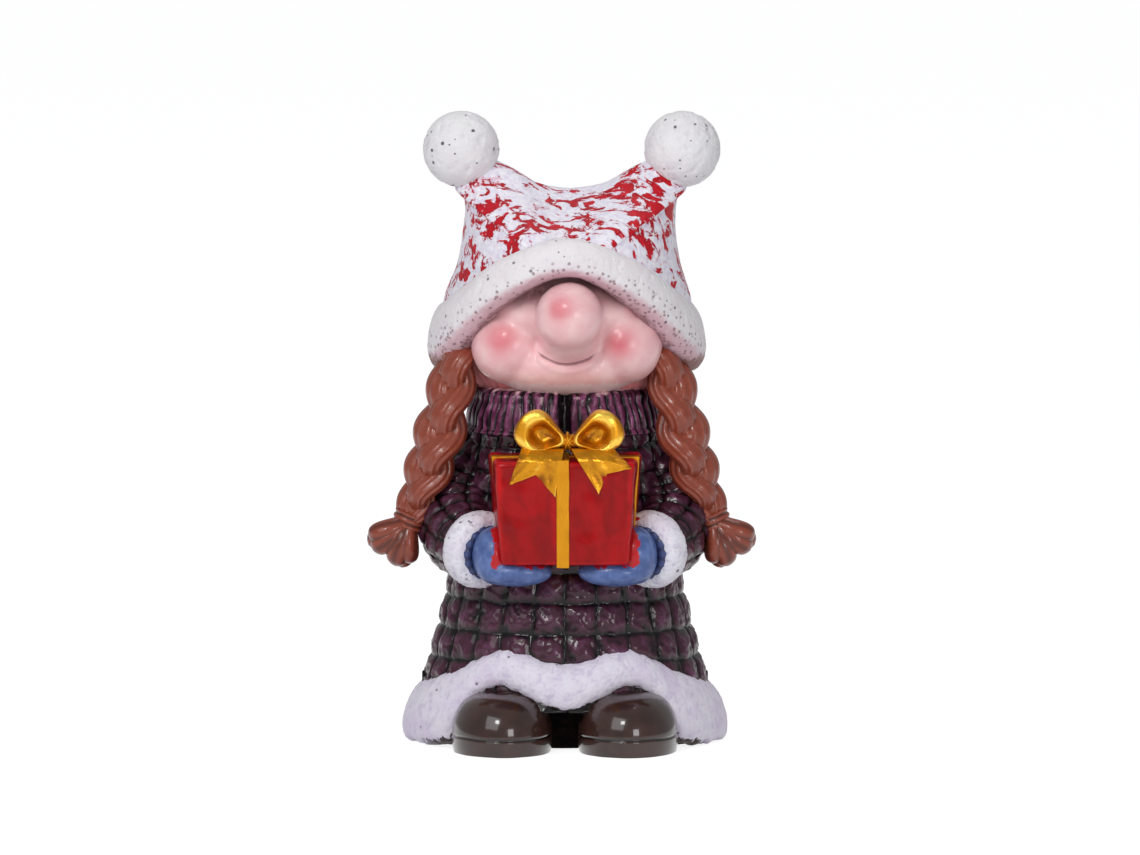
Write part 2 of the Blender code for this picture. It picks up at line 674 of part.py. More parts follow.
def make_crown(collection):
    """The soft crown: its outline puffed out to the front and the back, thin along the top."""
    outline = crown_outline()
    around, along = 34, 9
    last = len(outline) - 1
    heart = 0.45 * SADDLE_RISE

    def place(column, row):
        where = column / around * last
        edge_x = between(where, [(k, p[0]) for k, p in enumerate(outline)])
        edge_z = between(where, [(k, p[1]) for k, p in enumerate(outline)])
        swing = math.pi * row / along
        share = math.sin(swing)
        rise = heart + share * (edge_z - heart)
        depth = between(rise, [
            (0, CROWN_FOOT_HALF_DEPTH), (0.4 * SADDLE_RISE, CROWN_FOOT_HALF_DEPTH * 0.97),
            (0.72 * SADDLE_RISE, CROWN_FOOT_HALF_DEPTH * 0.86), (SADDLE_RISE, CROWN_FOOT_HALF_DEPTH * 0.42),
            (HORN_RISE, HORN_HALF_THICKNESS),
        ])
        depth -= CROWN_TUCK * behind_brim(share * edge_x, depth * math.cos(swing), rise)
        return HEAD_MIDDLE + Vector((share * edge_x + hat_lean(rise), -depth * math.cos(swing), rise))

    form("crown", rolled_grid(around, along, place), "hat_red", collection)


def make_pompom(side, collection):
    centre = HEAD_MIDDLE + Vector((side * HORN_SPACING / 2 + hat_lean(HORN_RISE), 0, HORN_RISE))
    egg(f"pompom_{side_name(side)}", centre, Vector((1, 1, 1)) * POMPOM_RADIUS, "fur_white", collection, 16, 10)


def make_brim(collection):
    """The fur band of the hat, lifted in an arch over the nose."""

    def place(column, row):
        turn, round_section = TURN * (column + 0.5) / BRIM_COLUMNS, TURN * row / RING_ROWS
        low, high = between_sides(turn, BRIM_LOWER), between_sides(turn, BRIM_UPPER)
        rise = (low + high) / 2 + (high - low) / 2 * fuller(math.sin(round_section))
        out = BRIM_THICKNESS / 2 * (fuller(math.cos(round_section)) - 1)
        out -= BRIM_FLARE * (1 + math.sin(round_section)) / 2
        out -= BRIM_ROLL * max(0, -math.sin(round_section)) ** 2
        return HEAD_MIDDLE + Vector((
            (BRIM_HALF_WIDTH + out) * math.sin(turn),
            -(BRIM_HALF_DEPTH + out) * math.cos(turn),
            rise,
        ))

    form("brim", rolled_grid(BRIM_COLUMNS, RING_ROWS, place), "fur_white", collection)


def strand(across, down):
    """How full the plait is at a place: rounded strands that slant in to the line where they cross."""
    slant = down - 0.5 * abs(across) + (0.5 if across < 0 else 0)
    return pillow(slant) * min(1, 0.25 + 2.2 * abs(across))


def make_braid(side, collection):
    """A tapered plait from under the brim down to its tie."""
    around, rings = 10, BRAID_STRANDS * 4
    path = [BRAID_TOP, BRAID_BEND, BRAID_TIE]

    def place(column, row):
        share = row / rings
        centre, way = along_path(path, share)
        forward = (Vector((0, -1, 0)) + way * way.y).normalized()
        outward = forward.cross(way)
        radius = between(share, [
            (0, BRAID_HALF_WIDTH * 0.8), (0.25, BRAID_HALF_WIDTH), (0.6, BRAID_HALF_WIDTH * 0.9),
            (1, BRAID_TIE_HALF_WIDTH),
        ])
        turn = TURN * column / around
        radius += STRAND_GROOVE * (strand(math.sin(turn - 0.5), share * BRAID_STRANDS) - 1)
        point = centre + radius * (forward * math.cos(turn) - outward * math.sin(turn))
        return sided(point, side) + Vector((BRAID_SHIFT, 0, 0))

    form(f"braid_{side_name(side)}", rolled_grid(around, rings, place), "hair_brown", collection)


def make_tuft(side, collection):
    """The loose end below the tie, spread in thick locks."""
    around, rings = TUFT_LOCKS * 4, 5
    way = TUFT_REACH.normalized()
    forward = Vector((0, -1, 0))
    outward = forward.cross(way)

    def place(column, row):
        share = row / rings
        turn = TURN * column / around
        full = between(share, [(0, 0.4), (0.35, 0.8), (0.7, 1), (0.9, 0.82), (1, 0)])
        groove = LOCK_GROOVE * full * (pillow(column * TUFT_LOCKS / around) - 1)
        wide, deep = full * TUFT_HALF_WIDTH + groove, full * TUFT_HALF_WIDTH * 0.62 + groove
        centre = BRAID_TIE + TUFT_REACH * (share * 1.15 - 0.12)
        point = centre + outward * wide * math.sin(turn) + forward * deep * math.cos(turn)
        return sided(point, side) + Vector((BRAID_SHIFT, 0, 0))

    form(f"tuft_{side_name(side)}", rolled_grid(around, rings, place), "hair_brown", collection)


def join_forms(statue, forms, cut):
    """One union of every form, then a cut that leaves the foot flat."""
    union = statue.modifiers.new("join_forms", "BOOLEAN")
    union.operation = "UNION"
    union.solver = "EXACT"
    union.operand_type = "COLLECTION"
    union.collection = forms
    union.material_mode = "TRANSFER"
    trim = statue.modifiers.new("flat_foot", "BOOLEAN")
    trim.operation = "DIFFERENCE"
    trim.solver = "EXACT"
    trim.object = cut
    trim.material_mode = "TRANSFER"


def make_table_cut(collection):
    """A block whose top is the table. What reaches into it is cut away."""
    reach = 2 * (FOOT_HALF_WIDTH + BOOT_TOE_REACH)
    skin = bmesh.new()
    bmesh.ops.create_cube(skin, size=1)
    bmesh.ops.scale(skin, vec=(reach, reach, 4 * BASE_ALLOWANCE), verts=skin.verts)
    bmesh.ops.translate(skin, vec=(0, 0, -2 * BASE_ALLOWANCE), verts=skin.verts)
    return form("table_cut", skin, "boot_brown", collection)


def main():
    clear_scene()
    forms = bpy.data.collections.new("forms")
    cutters = bpy.data.collections.new("cutters")
    for collection in (forms, cutters):
        bpy.context.scene.collection.children.link(collection)
    statue = make_coat()
    make_plug(forms)
    make_hem(forms)
    make_collar(forms)
    make_head(forms)
    make_crown(forms)
    make_brim(forms)
    make_gift(forms)
    for side in (-1, 1):
        make_boot(side, forms)
        make_sleeve(side, forms)
        make_cuff(side, forms)
        make_mitten(side, forms)
        make_bow_loop(side, forms)
        make_bow_tail(side, forms)
        make_pompom(side, forms)
        make_braid(side, forms)
        make_tuft(side, forms)
    egg("bow_knot", bow_knot(), Vector((1, 1, 1)) * KNOT_RADIUS, "ribbon_gold", forms, 10, 6)
    join_forms(statue, forms, make_table_cut(cutters))


main()
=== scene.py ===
# %% [markdown]
# # A painted gnome statue
# This is a small figurine, about 15 cm tall: a gnome girl who holds out a gift. The real one is
# cast in resin in one piece and painted by hand. Here each form of the casting is shaped by
# itself, because each has its own texture and its own paint, and all of them ride on one body.

import math

import bmesh
import bpy
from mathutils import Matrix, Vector, noise


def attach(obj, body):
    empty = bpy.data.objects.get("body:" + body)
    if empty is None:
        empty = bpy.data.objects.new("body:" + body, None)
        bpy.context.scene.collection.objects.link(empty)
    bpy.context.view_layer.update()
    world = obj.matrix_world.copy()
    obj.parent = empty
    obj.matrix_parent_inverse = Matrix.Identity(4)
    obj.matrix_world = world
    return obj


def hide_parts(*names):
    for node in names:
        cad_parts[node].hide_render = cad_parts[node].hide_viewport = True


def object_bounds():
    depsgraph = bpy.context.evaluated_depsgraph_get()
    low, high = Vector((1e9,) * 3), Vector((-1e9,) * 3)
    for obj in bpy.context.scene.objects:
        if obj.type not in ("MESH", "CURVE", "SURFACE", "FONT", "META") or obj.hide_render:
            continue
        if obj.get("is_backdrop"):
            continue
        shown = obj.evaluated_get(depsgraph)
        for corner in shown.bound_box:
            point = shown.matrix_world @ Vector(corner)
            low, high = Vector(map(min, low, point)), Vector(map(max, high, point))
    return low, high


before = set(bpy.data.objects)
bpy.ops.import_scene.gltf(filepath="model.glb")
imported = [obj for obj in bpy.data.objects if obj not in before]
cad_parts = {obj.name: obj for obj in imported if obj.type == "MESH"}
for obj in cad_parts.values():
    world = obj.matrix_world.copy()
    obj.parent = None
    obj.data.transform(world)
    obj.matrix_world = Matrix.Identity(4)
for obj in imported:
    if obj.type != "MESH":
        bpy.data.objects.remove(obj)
cad_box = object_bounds()
MM = 0.001
TURN = 2 * math.pi
for low, high, letter in zip(*cad_box, "XYZ"):
    print(f"The casting spans {low / MM:.1f} to {high / MM:.1f} mm along {letter}")

# %% [markdown]
# ## The camera
# The photograph looks at the statue from a little above, from far away with a long lens, so the
# front pieces are hardly larger than the ones behind. The picture spans 270.75 mm at the statue.

# %% Place the camera
PICTURE_WIDTH = 270.75 * MM
CAMERA_RISE = math.radians(6)
CAMERA_DISTANCE = 4.0
AIM = Vector((1.19, 0, 74.4)) * MM

lens_data = bpy.data.cameras.new("camera")
lens_data.lens = lens_data.sensor_width * CAMERA_DISTANCE / PICTURE_WIDTH
camera = bpy.data.objects.new("camera", lens_data)
back = Vector((0, -math.cos(CAMERA_RISE), math.sin(CAMERA_RISE)))
camera.location = AIM + back * CAMERA_DISTANCE
camera.rotation_euler = (-back).to_track_quat("-Z", "Y").to_euler()
lens_data.clip_end = 100
bpy.context.scene.collection.objects.link(camera)
bpy.context.scene.camera = camera
bpy.context.scene.view_settings.view_transform = "Standard"
print(f"Lens: {lens_data.lens:.0f} mm")

# %% [markdown]
# ## Shader maths as plain sums
# A paint finish is a recipe: how much red shows through the white, where the painted shade sits.
# Such recipes are easier to read as sums than as chains of nodes, so one small class wraps a
# node's output and turns + - * and abs into Math nodes. One function adds any other node.

# %% A class for sums of node outputs
class Wire:
    """The output of a shader node, which can be used in sums."""

    def __init__(self, tree, socket):
        self.tree = tree
        self.socket = socket

    def maths(self, operation, *parts):
        return add_node(self.tree, "ShaderNodeMath", {"operation": operation}, dict(enumerate(parts)))

    def __add__(self, other):
        return self.maths("ADD", self, other)

    def __radd__(self, other):
        return self.maths("ADD", other, self)

    def __sub__(self, other):
        return self.maths("SUBTRACT", self, other)

    def __rsub__(self, other):
        return self.maths("SUBTRACT", other, self)

    def __mul__(self, other):
        return self.maths("MULTIPLY", self, other)

    def __rmul__(self, other):
        return self.maths("MULTIPLY", other, self)

    def __abs__(self):
        return self.maths("ABSOLUTE", self)

    def most(self, other):
        return self.maths("MAXIMUM", self, other)


def add_node(tree, kind, settings, sockets, output=0):
    """Adds a node, first its settings and then the values or links of its sockets."""
    node = tree.nodes.new(kind)
    for name, value in settings.items():
        setattr(node, name, value)
    for name, value in sockets.items():
        if isinstance(value, Wire):
            tree.links.new(value.socket, node.inputs[name])
        else:
            node.inputs[name].default_value = value
    return Wire(tree, node.outputs[output])


def screen(red, green, blue):
    """A colour as seen on a screen, 0 to 255, turned into the linear values of a shader."""
    return (*[((part / 255 + 0.055) / 1.055) ** 2.4 for part in (red, green, blue)], 1)


print("Plum on the shader:", [round(part, 3) for part in screen(68, 32, 48)])

# %% [markdown]
# ## A paint pot
# Every finish here needs the same few things: the place on the statue, how raised the surface is
# there, noise and cells of a given size in millimetres, soft steps, mixed colours, and a bump.
# The pot holds them. "raised" is a value that each piece keeps on its points, 0 in a groove and
# 1 on a ridge. The finishes use it for painted shade in the grooves and painted highlights on the
# ridges.

# %% The paint pot
VARNISH_ROUGHNESS = 0.09


class PaintPot:
    """A material, with the painter's tools for making its finish."""

    def __init__(self, name, roughness, coat=0.0, metallic=0.0, mirror=0.5):
        self.material = bpy.data.materials.new(name)
        self.material.use_nodes = True
        self.tree = self.material.node_tree
        self.shader = self.tree.nodes["Principled BSDF"]
        for socket, value in (
            ("Roughness", roughness), ("Metallic", metallic), ("Specular IOR Level", mirror),
            ("Coat Weight", coat), ("Coat Roughness", VARNISH_ROUGHNESS),
        ):
            self.shader.inputs[socket].default_value = value
        self.spot = self.add("ShaderNodeTexCoord", {}, {}, "Object")
        self.raised = self.add("ShaderNodeAttribute", {"attribute_name": "raised"}, {}, "Fac")
        self.edge = self.add("ShaderNodeAttribute", {"attribute_name": "edge"}, {}, "Fac")

    def add(self, kind, settings, sockets, output=0):
        return add_node(self.tree, kind, settings, sockets, output)

    def stretched(self, turn_degrees, stretch):
        """The place on the statue, turned in the picture plane and squeezed along X, for long marks."""
        turn = (0, math.radians(turn_degrees), 0)
        sockets = {"Vector": self.spot, "Rotation": turn, "Scale": (stretch, 1, 1)}
        return self.add("ShaderNodeMapping", {"vector_type": "TEXTURE"}, sockets)

    def noise(self, size, detail=3.0, rough=0.5, spot=None, warp=0.0):
        """Cloudy noise from 0 to 1, with clouds about this size across."""
        sockets = {"Vector": spot or self.spot, "Scale": 1 / size, "Detail": detail, "Roughness": rough}
        return self.add("ShaderNodeTexNoise", {}, {**sockets, "Distortion": warp})

    def cells(self, size, output="Distance"):
        """Cells about this size across: the distance from a cell's point, or the cell's random Color."""
        return self.add("ShaderNodeTexVoronoi", {}, {"Vector": self.spot, "Scale": 1 / size}, output)

    def step(self, value, start, end):
        """A soft step that is 0 at start and 1 at end."""
        sockets = {"Value": value, "From Min": start, "From Max": end}
        return self.add("ShaderNodeMapRange", {"interpolation_type": "SMOOTHSTEP"}, sockets)

    def mix(self, share, first, second):
        """The first colour where share is 0 and the second where it is 1."""
        # a Mix node has a set of sockets for each kind of data, and 6 and 7 are its two colours
        settings = {"data_type": "RGBA"}
        return self.add("ShaderNodeMix", settings, {0: share, 6: first, 7: second}, 2)

    def relief_shaded(self, dark, light, start, end):
        """Painted shade in the grooves and a painted highlight on the ridges, from how raised the surface is.
        """
        return self.mix(self.step(self.raised, start, end), dark, light)

    def mottled(self, dark, light, size, detail=4, start=0.35, end=0.7, rough=0.5):
        """A colour that drifts between two others, in clouds of this size."""
        return self.mix(self.step(self.noise(size, detail, rough), start, end), dark, light)

    def axis(self, letter):
        """One coordinate of the place on the statue, in metres."""
        return self.add("ShaderNodeSeparateXYZ", {}, {"Vector": self.spot}, letter)

    def near(self, point, inner, outer):
        """1 within the inner distance of a point and 0 beyond the outer one."""
        settings = {"operation": "DISTANCE"}
        away = self.add("ShaderNodeVectorMath", settings, {0: self.spot, 1: point}, "Value")
        return self.step(away, outer, inner)

    def pinholes(self, size, share, radius):
        """1 in the small round holes that air bubbles leave, in this share of the cells."""
        lot = self.add("ShaderNodeSeparateColor", {}, {"Color": self.cells(size, "Color")})
        chosen = self.step(lot, 1 - share - 0.01, 1 - share)
        return self.step(self.cells(size), radius, radius * 0.6) * chosen

    def colour(self, wire):
        self.tree.links.new(wire.socket, self.shader.inputs["Base Color"])

    def roughness(self, wire):
        self.tree.links.new(wire.socket, self.shader.inputs["Roughness"])

    def bump(self, height, depth):
        """Bends the light as if the surface rose by depth where height is 1."""
        made = self.add("ShaderNodeBump", {}, {"Strength": 1.0, "Distance": depth, "Height": height})
        self.tree.links.new(made.socket, self.shader.inputs["Normal"])


print("A pot holds:", [name for name in vars(PaintPot) if not name.startswith("_")])

# %% [markdown]
# ## Curves through a few stops
# Most of the statue's outlines are soft: a width that grows from the waist to the foot, an edge
# that rises over the nose. A few stops and one smooth curve through them describe such a line.

# %% Smooth curves
def between(at, stops):
    """The smooth curve through stops of (place, value), read at a place."""
    at = min(max(at, stops[0][0]), stops[-1][0])
    left = 0
    while at > stops[left + 1][0]:
        left += 1
    right = left + 1
    width = stops[right][0] - stops[left][0]
    share = (at - stops[left][0]) / width
    before, after = max(left - 1, 0), min(right + 1, len(stops) - 1)
    start = (stops[right][1] - stops[before][1]) / (stops[right][0] - stops[before][0]) * width
    end = (stops[after][1] - stops[left][1]) / (stops[after][0] - stops[left][0]) * width
    rise = stops[right][1] - stops[left][1]
    bend = share * (1 - share)
    return stops[left][1] + rise * share + bend * ((1 - share) * (start - rise) - share * (end - rise))


def between_sides(turn, stops):
    """A value round the figure, the same on both sides, from stops of (degrees from the front, value)."""
    away = abs((math.degrees(turn) + 180) % 360 - 180)
    front, rear = stops[1], stops[-2]
    return between(away, [(-front[0], front[1]), *stops, (360 - rear[0], rear[1])])


def fuller(part, power=0.8):
    """A sine or cosine pushed outward, so that a round section turns into a rounded band."""
    return math.copysign(abs(part) ** power, part)


def hills(spot, size, layer=0):
    """Smooth hills and dips about this size across, from -1 to 1."""
    return noise.noise(spot / size + Vector((17.3 * layer, 0, 0)))


arch = [(0, 0), (0.5, 1), (1, 0)]
print("A curve through three stops:", [round(between(k / 4, arch), 2) for k in range(5)])

# %% [markdown]
# ## Rolling a grid into a form
# Balls, tubes, rings and bands are all a flat grid that is rolled up. Blender makes the grid, each
# of its points is moved to its place, the seam is welded and any open end is closed. The same
# function keeps how raised each point is, and how near it is to the painted edge of its piece.

# %% Rolled grids and finished pieces
WELD = 0.002 * MM


def add_marks(skin):
    """Gives the points room for two marks: how raised they are, and how near the painted edge."""
    for name in ("raised", "edge"):
        skin.verts.layers.float.new(name)
    return skin


def marks_of(skin):
    return [skin.verts.layers.float[name] for name in ("raised", "edge")]


def rolled_grid(around, along, place):
    """A rolled grid. place(u, v) gives the point, how raised it is, and how near the painted edge."""
    skin = add_marks(bmesh.new())
    bmesh.ops.create_grid(skin, x_segments=around, y_segments=along, size=1)
    raised, edge = marks_of(skin)
    for point in skin.verts:
        u = round((point.co.x + 1) / 2 * around) % around / around
        point.co, point[raised], point[edge] = place(u, (point.co.y + 1) / 2)
    bmesh.ops.remove_doubles(skin, verts=skin.verts, dist=WELD)
    bmesh.ops.holes_fill(skin, edges=[e for e in skin.edges if e.is_boundary], sides=0)
    bmesh.ops.recalc_face_normals(skin, faces=skin.faces)
    return skin


def sculpt(skin, tool):
    """Pushes each point along its normal. tool(point) gives the push and the point's two marks."""
    skin.normal_update()
    raised, edge = marks_of(skin)
    for point in skin.verts:
        push, point[raised], point[edge] = tool(point.co)
        point.co += point.normal * push


def stand_flat(skin):
    """Cuts away what lies under the table and closes the foot."""
    everything = [*skin.verts, *skin.edges, *skin.faces]
    bmesh.ops.bisect_plane(
        skin, geom=everything, dist=WELD, plane_co=(0, 0, 0), plane_no=(0, 0, 1), clear_inner=True,
    )
    bmesh.ops.holes_fill(skin, edges=[e for e in skin.edges if e.is_boundary], sides=0)
    bmesh.ops.recalc_face_normals(skin, faces=skin.faces)


def merge(skins):
    """Several shapes as one."""
    whole = skins[0]
    for skin in skins[1:]:
        mesh = bpy.data.meshes.new("part")
        skin.to_mesh(mesh)
        skin.free()
        whole.from_mesh(mesh)
        bpy.data.meshes.remove(mesh)
    return whole


def finish_piece(name, skin, pot):
    """Makes an object of a shape, paints it, and lets it ride on the statue's one body."""
    mesh = bpy.data.meshes.new(name)
    skin.to_mesh(mesh)
    skin.free()
    mesh.shade_smooth()
    mesh.materials.append(pot.material)
    piece = bpy.data.objects.new(name, mesh)
    bpy.context.scene.collection.objects.link(piece)
    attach(piece, "root")
    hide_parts("gnome_statue")
    tall = max(v.co.z for v in mesh.vertices) - min(v.co.z for v in mesh.vertices)
    print(f"{name}: {len(mesh.polygons)} faces, {tall / MM:.1f} mm tall")


def finish_pair(name, shape, pot):
    """Finishes a left and a right piece. shape(side) makes one of them, with side -1 or 1."""
    for side, word in ((-1, "left"), (1, "right")):
        finish_piece(f"{name}_{word}", shape(side), pot)


def sided(point, side):
    """A point that is given for +X, put on its own side."""
    return Vector((side * point.x, point.y, point.z))


print(f"Points nearer than {WELD / MM} mm are welded")

# %% [markdown]
# ## The coat's body
# The coat is the middle of the figure, and the other forms sit on it. It is wide at the foot,
# narrow at the waist and rounded in at the neck. Its half widths and half depths are curves over
# the height, so that the hem can follow the same curves later.

# %% Coat sizes
FOOT_HALF_WIDTH = 36.5 * MM
FOOT_HALF_DEPTH = 31.0 * MM
WAIST_HEIGHT = 42.2 * MM
WAIST_HALF_WIDTH = 25.8 * MM
WAIST_HALF_DEPTH = 22.6 * MM
CHEST_HEIGHT = 60.0 * MM
CHEST_HALF_WIDTH = 25.2 * MM
CHEST_HALF_DEPTH = 21.2 * MM
NECK_HEIGHT = 77.0 * MM
NECK_HALF_WIDTH = 21.0 * MM
NECK_HALF_DEPTH = 18.6 * MM


def coat_half_width(height):
    return between(height, [
        (0, FOOT_HALF_WIDTH), (WAIST_HEIGHT, WAIST_HALF_WIDTH),
        (CHEST_HEIGHT, CHEST_HALF_WIDTH), (NECK_HEIGHT, NECK_HALF_WIDTH),
    ])


def coat_half_depth(height):
    return between(height, [
        (0, FOOT_HALF_DEPTH), (WAIST_HEIGHT, WAIST_HALF_DEPTH),
        (CHEST_HEIGHT, CHEST_HALF_DEPTH), (NECK_HEIGHT, NECK_HALF_DEPTH),
    ])


print(f"At half the skirt the coat is {2 * coat_half_width(21 * MM) / MM:.0f} mm wide")

# %% [markdown]
# ## Quilting
# The coat is stitched into puffed squares, 24 round the body, taller on the skirt than on the
# chest. A square bulges most in its middle and drops to a thin dark seam. Two parabolas
# multiplied give that bulge, and a small power makes it plump right up to the seam. Noise makes
# the seams wander, and noise folded at its middle puckers the pads with sharp little creases,
# because the sculptor cut each one by hand.

# %% Shape the coat
QUILT_COLUMNS = 24
QUILT_PUFF = 1.5 * MM
SKIRT_ROW = 7.2 * MM
CHEST_ROW = 5.8 * MM
SKIRT_ROWS = 4.5
CHEST_ROWS = 6
PUCKER_SIZE = 3.0 * MM
PAD_PLUMPNESS = 0.34
COLUMN_WANDER = 0.09
ROW_WANDER = 0.10
SQUARES_ACROSS_PAD = 20
SQUARES_UP_PAD = 16


def on_ring(turn, half_width, half_depth, height):
    """A point on a level oval round the figure, turned this far from its front."""
    return Vector((half_width * math.sin(turn), -half_depth * math.cos(turn), height))


def pad(column, row):
    """How full a pad is at a place counted in columns and rows: 0 at a seam, 1 in the middle."""
    across, up = 2 * (column % 1) - 1, 2 * (row % 1) - 1
    return ((1 - across ** 2) * (1 - up ** 2)) ** PAD_PLUMPNESS


def pucker(spot, size, layer):
    """Sharp little ridges, 1 on a ridge and about -0.5 between them."""
    return 1 - 4 * abs(hills(spot, size, layer))


def puckered(spot, column, row):
    """The pad with wandering seams and creases, and how raised that is."""
    column += COLUMN_WANDER * hills(spot, 8 * MM, 1)
    row += ROW_WANDER * hills(spot, 6 * MM, 2)
    full = pad(column, row)
    slanting = Vector((spot.x + 0.6 * spot.z, spot.y, spot.z * 0.6))
    fold = 0.75 * pucker(slanting, PUCKER_SIZE, 3) + 0.4 * pucker(spot, PUCKER_SIZE * 0.5, 4)
    return full * (1 + 0.2 * fold), full * (0.85 + 0.3 * fold)


def coat_place(u, v):
    from_waist = v * (SKIRT_ROWS + CHEST_ROWS) - SKIRT_ROWS
    height = WAIST_HEIGHT + from_waist * (SKIRT_ROW if from_waist < 0 else CHEST_ROW)
    turn = TURN * u
    half_width, half_depth = coat_half_width(height), coat_half_depth(height)
    full, level = puckered(on_ring(turn, half_width, half_depth, height), u * QUILT_COLUMNS, from_waist)
    puff = QUILT_PUFF * full
    return on_ring(turn, half_width + puff, half_depth + puff, height), level, 0


squares_up = round((SKIRT_ROWS + CHEST_ROWS) * SQUARES_UP_PAD)
coat = rolled_grid(QUILT_COLUMNS * SQUARES_ACROSS_PAD, squares_up, coat_place)
print(f"The coat has {QUILT_COLUMNS} pads round it, and each is {SQUARES_ACROSS_PAD} squares wide")

# %% [markdown]
# ## Glossy plum paint
# The coat is a very dark plum with a clear gloss. The seams get an almost black painted shade, and
# the tops of the pads a little magenta as painted highlight. A dark paint shows every reflection, so
# its mirror is weak and only a thin coat on it is glossy. What shows of the coat low down, behind
# the boots, is painted black-brown as painted shade.

# %% Paint the coat
coat_paint = PaintPot("coat_plum_paint", 0.34, coat=0.5, mirror=0.1)
cloudy = coat_paint.noise(3.0 * MM, 4)
# Painted shade in the seams and a painted highlight of magenta on the tops of the pads.
pad_highlight = coat_paint.step(coat_paint.raised, 0.6, 1.2) * coat_paint.step(cloudy, 0.4, 0.68)
plum = coat_paint.relief_shaded(screen(8, 3, 6), screen(68, 32, 48), 0.3, 0.8)
plum = coat_paint.mix(pad_highlight * 0.6, plum, screen(126, 74, 112))
# Painted shade: low down behind the boots the coat is painted black-brown.
low = coat_paint.step(coat_paint.axis("Z"), 15 * MM, 11 * MM)
shade_behind_boots = low * coat_paint.step(coat_paint.axis("Y"), -18 * MM, -22 * MM)
coat_paint.colour(coat_paint.mix(shade_behind_boots, plum, screen(12, 7, 7)))
coat_paint.roughness(0.46 - 0.2 * coat_paint.raised)
coat_paint.bump(coat_paint.noise(1.2 * MM, 4, 0.6), 0.24 * MM)
finish_piece("coat", coat, coat_paint)

# %% [markdown]
# ## The fur hem
# A band of fur runs round the skirt's foot. At the front it lifts in two arches over the boots,
# with a point hanging between them. It is a rounded band on a closed curve, and its upper and
# lower edges are curves of their own round the figure.

# %% Shape the hem
HEM_THICKNESS = 8.8 * MM
HEM_SUNK = 1.0 * MM
HEM_LOWER = [
    (0, 9.9 * MM), (26, 15.1 * MM), (37, 12.6 * MM), (43, 6.5 * MM), (48, 1.6 * MM), (75, 0.4 * MM),
    (105, -0.9 * MM), (180, -1.1 * MM),
]
HEM_UPPER = [(0, 21.2 * MM), (27, 24.2 * MM), (58, 18.0 * MM), (90, 14.4 * MM), (180, 14.0 * MM)]
HEM_FULLNESS = 0.75
HEM_RAGGED = 0.6 * MM
HEM_FUR_DEPTH = 0.45 * MM
CLOT_SIZE = 2.0 * MM


def fur(spot):
    """The look of cast fur: soft clots and small curls on them, from 0 to 1."""
    bend = Vector((hills(spot, 3 * MM, 5), hills(spot, 3 * MM, 6), hills(spot, 3 * MM, 7))) * 0.5 * MM
    clots = hills(spot + bend, CLOT_SIZE, 8)
    curls = pucker(spot + bend, CLOT_SIZE * 0.55, 9)
    return min(1, max(0, 0.55 + 0.35 * clots + 0.16 * curls + 0.12 * hills(spot, CLOT_SIZE * 0.3, 10)))


def furred(depth):
    """A sculpting tool that raises the fur by this depth."""
    def tool(spot):
        level = fur(spot)
        return depth * (level - 0.5), level, 0

    return tool


def hem_place(u, v):
    turn, section = TURN * u, TURN * v
    low, high = between_sides(turn, HEM_LOWER), between_sides(turn, HEM_UPPER)
    swing = math.sin(section)
    height = (low + high) / 2 + (high - low) / 2 * swing
    out = HEM_THICKNESS / 2 * fuller(math.cos(section), HEM_FULLNESS) - HEM_SUNK
    seat = max(height, 0)
    spot = on_ring(turn, coat_half_width(seat) + out, coat_half_depth(seat) + out, height)
    level = fur(spot)
    ragged = HEM_RAGGED * hills(spot, 2.2 * MM, 11) * abs(swing) ** 3
    spot += on_ring(turn, 1, 1, 0) * HEM_FUR_DEPTH * (level - 0.5)
    return spot + Vector((0, 0, ragged)), level, max(0, -swing)


hem = rolled_grid(560, 64, hem_place)
stand_flat(hem)
print(f"The hem has {len(hem.faces)} faces")

# %% [markdown]
# ## White fur paint
# The fur is white with painted shade in its dips and broad tinted patches, where the white was
# thin. It has small pinholes where air was caught in the mould, darkened with painted shade. The
# pot takes all of these as values, because the hem is lilac, the cuffs are speckled and the brim
# is full of pores. Over the boots the underside of the hem's lower edge is painted dark and ragged.

# %% Mix the fur paint
# Painted shade inside the pinholes, which the bump alone doesn't darken.
PINHOLE_SHADE = screen(74, 54, 64)


def fur_paint(name, light, shade, tint, pit_size, pit_share):
    """White paint over fur with painted shade in its dips, tinted in patches, and pits in this share of the
    cells.
    """
    pot = PaintPot(name, 0.56, mirror=0.35)
    grain = pot.noise(0.8 * MM, 4, 0.6)
    # Painted shade: the shade colour goes into the fur's dips, the light one onto its tops.
    dips = pot.step(pot.raised * 0.8 + grain * 0.4, 0.3, 0.75)
    patches = pot.step(pot.noise(8 * MM, 3), 0.45, 0.7)
    pot.white = pot.mix(patches * 0.6, pot.mix(dips, shade, light), tint)
    pot.pits = pot.pinholes(pit_size, pit_share, 0.22)
    pot.bump(grain * 0.9 - pot.pits, 0.22 * MM)
    return pot


hem_paint = fur_paint(
    "hem_fur_paint", screen(232, 227, 239), screen(210, 200, 222), screen(220, 204, 230), 1.9 * MM, 0.02,
)
ragged_edge = hem_paint.edge + 0.5 * (hem_paint.noise(1.5 * MM, 4, 0.6) - 0.5)
front = hem_paint.step(hem_paint.axis("Y"), -12 * MM, -18 * MM)
hem_white = hem_paint.mix(hem_paint.pits * 0.7, hem_paint.white, PINHOLE_SHADE)
# The front of the hem's underside, over the boots, is painted dark and ragged.
dark_edge = hem_paint.step(ragged_edge, 0.84, 0.9) * front
hem_paint.colour(hem_paint.mix(dark_edge, hem_white, screen(52, 34, 34)))
finish_piece("hem", hem, hem_paint)

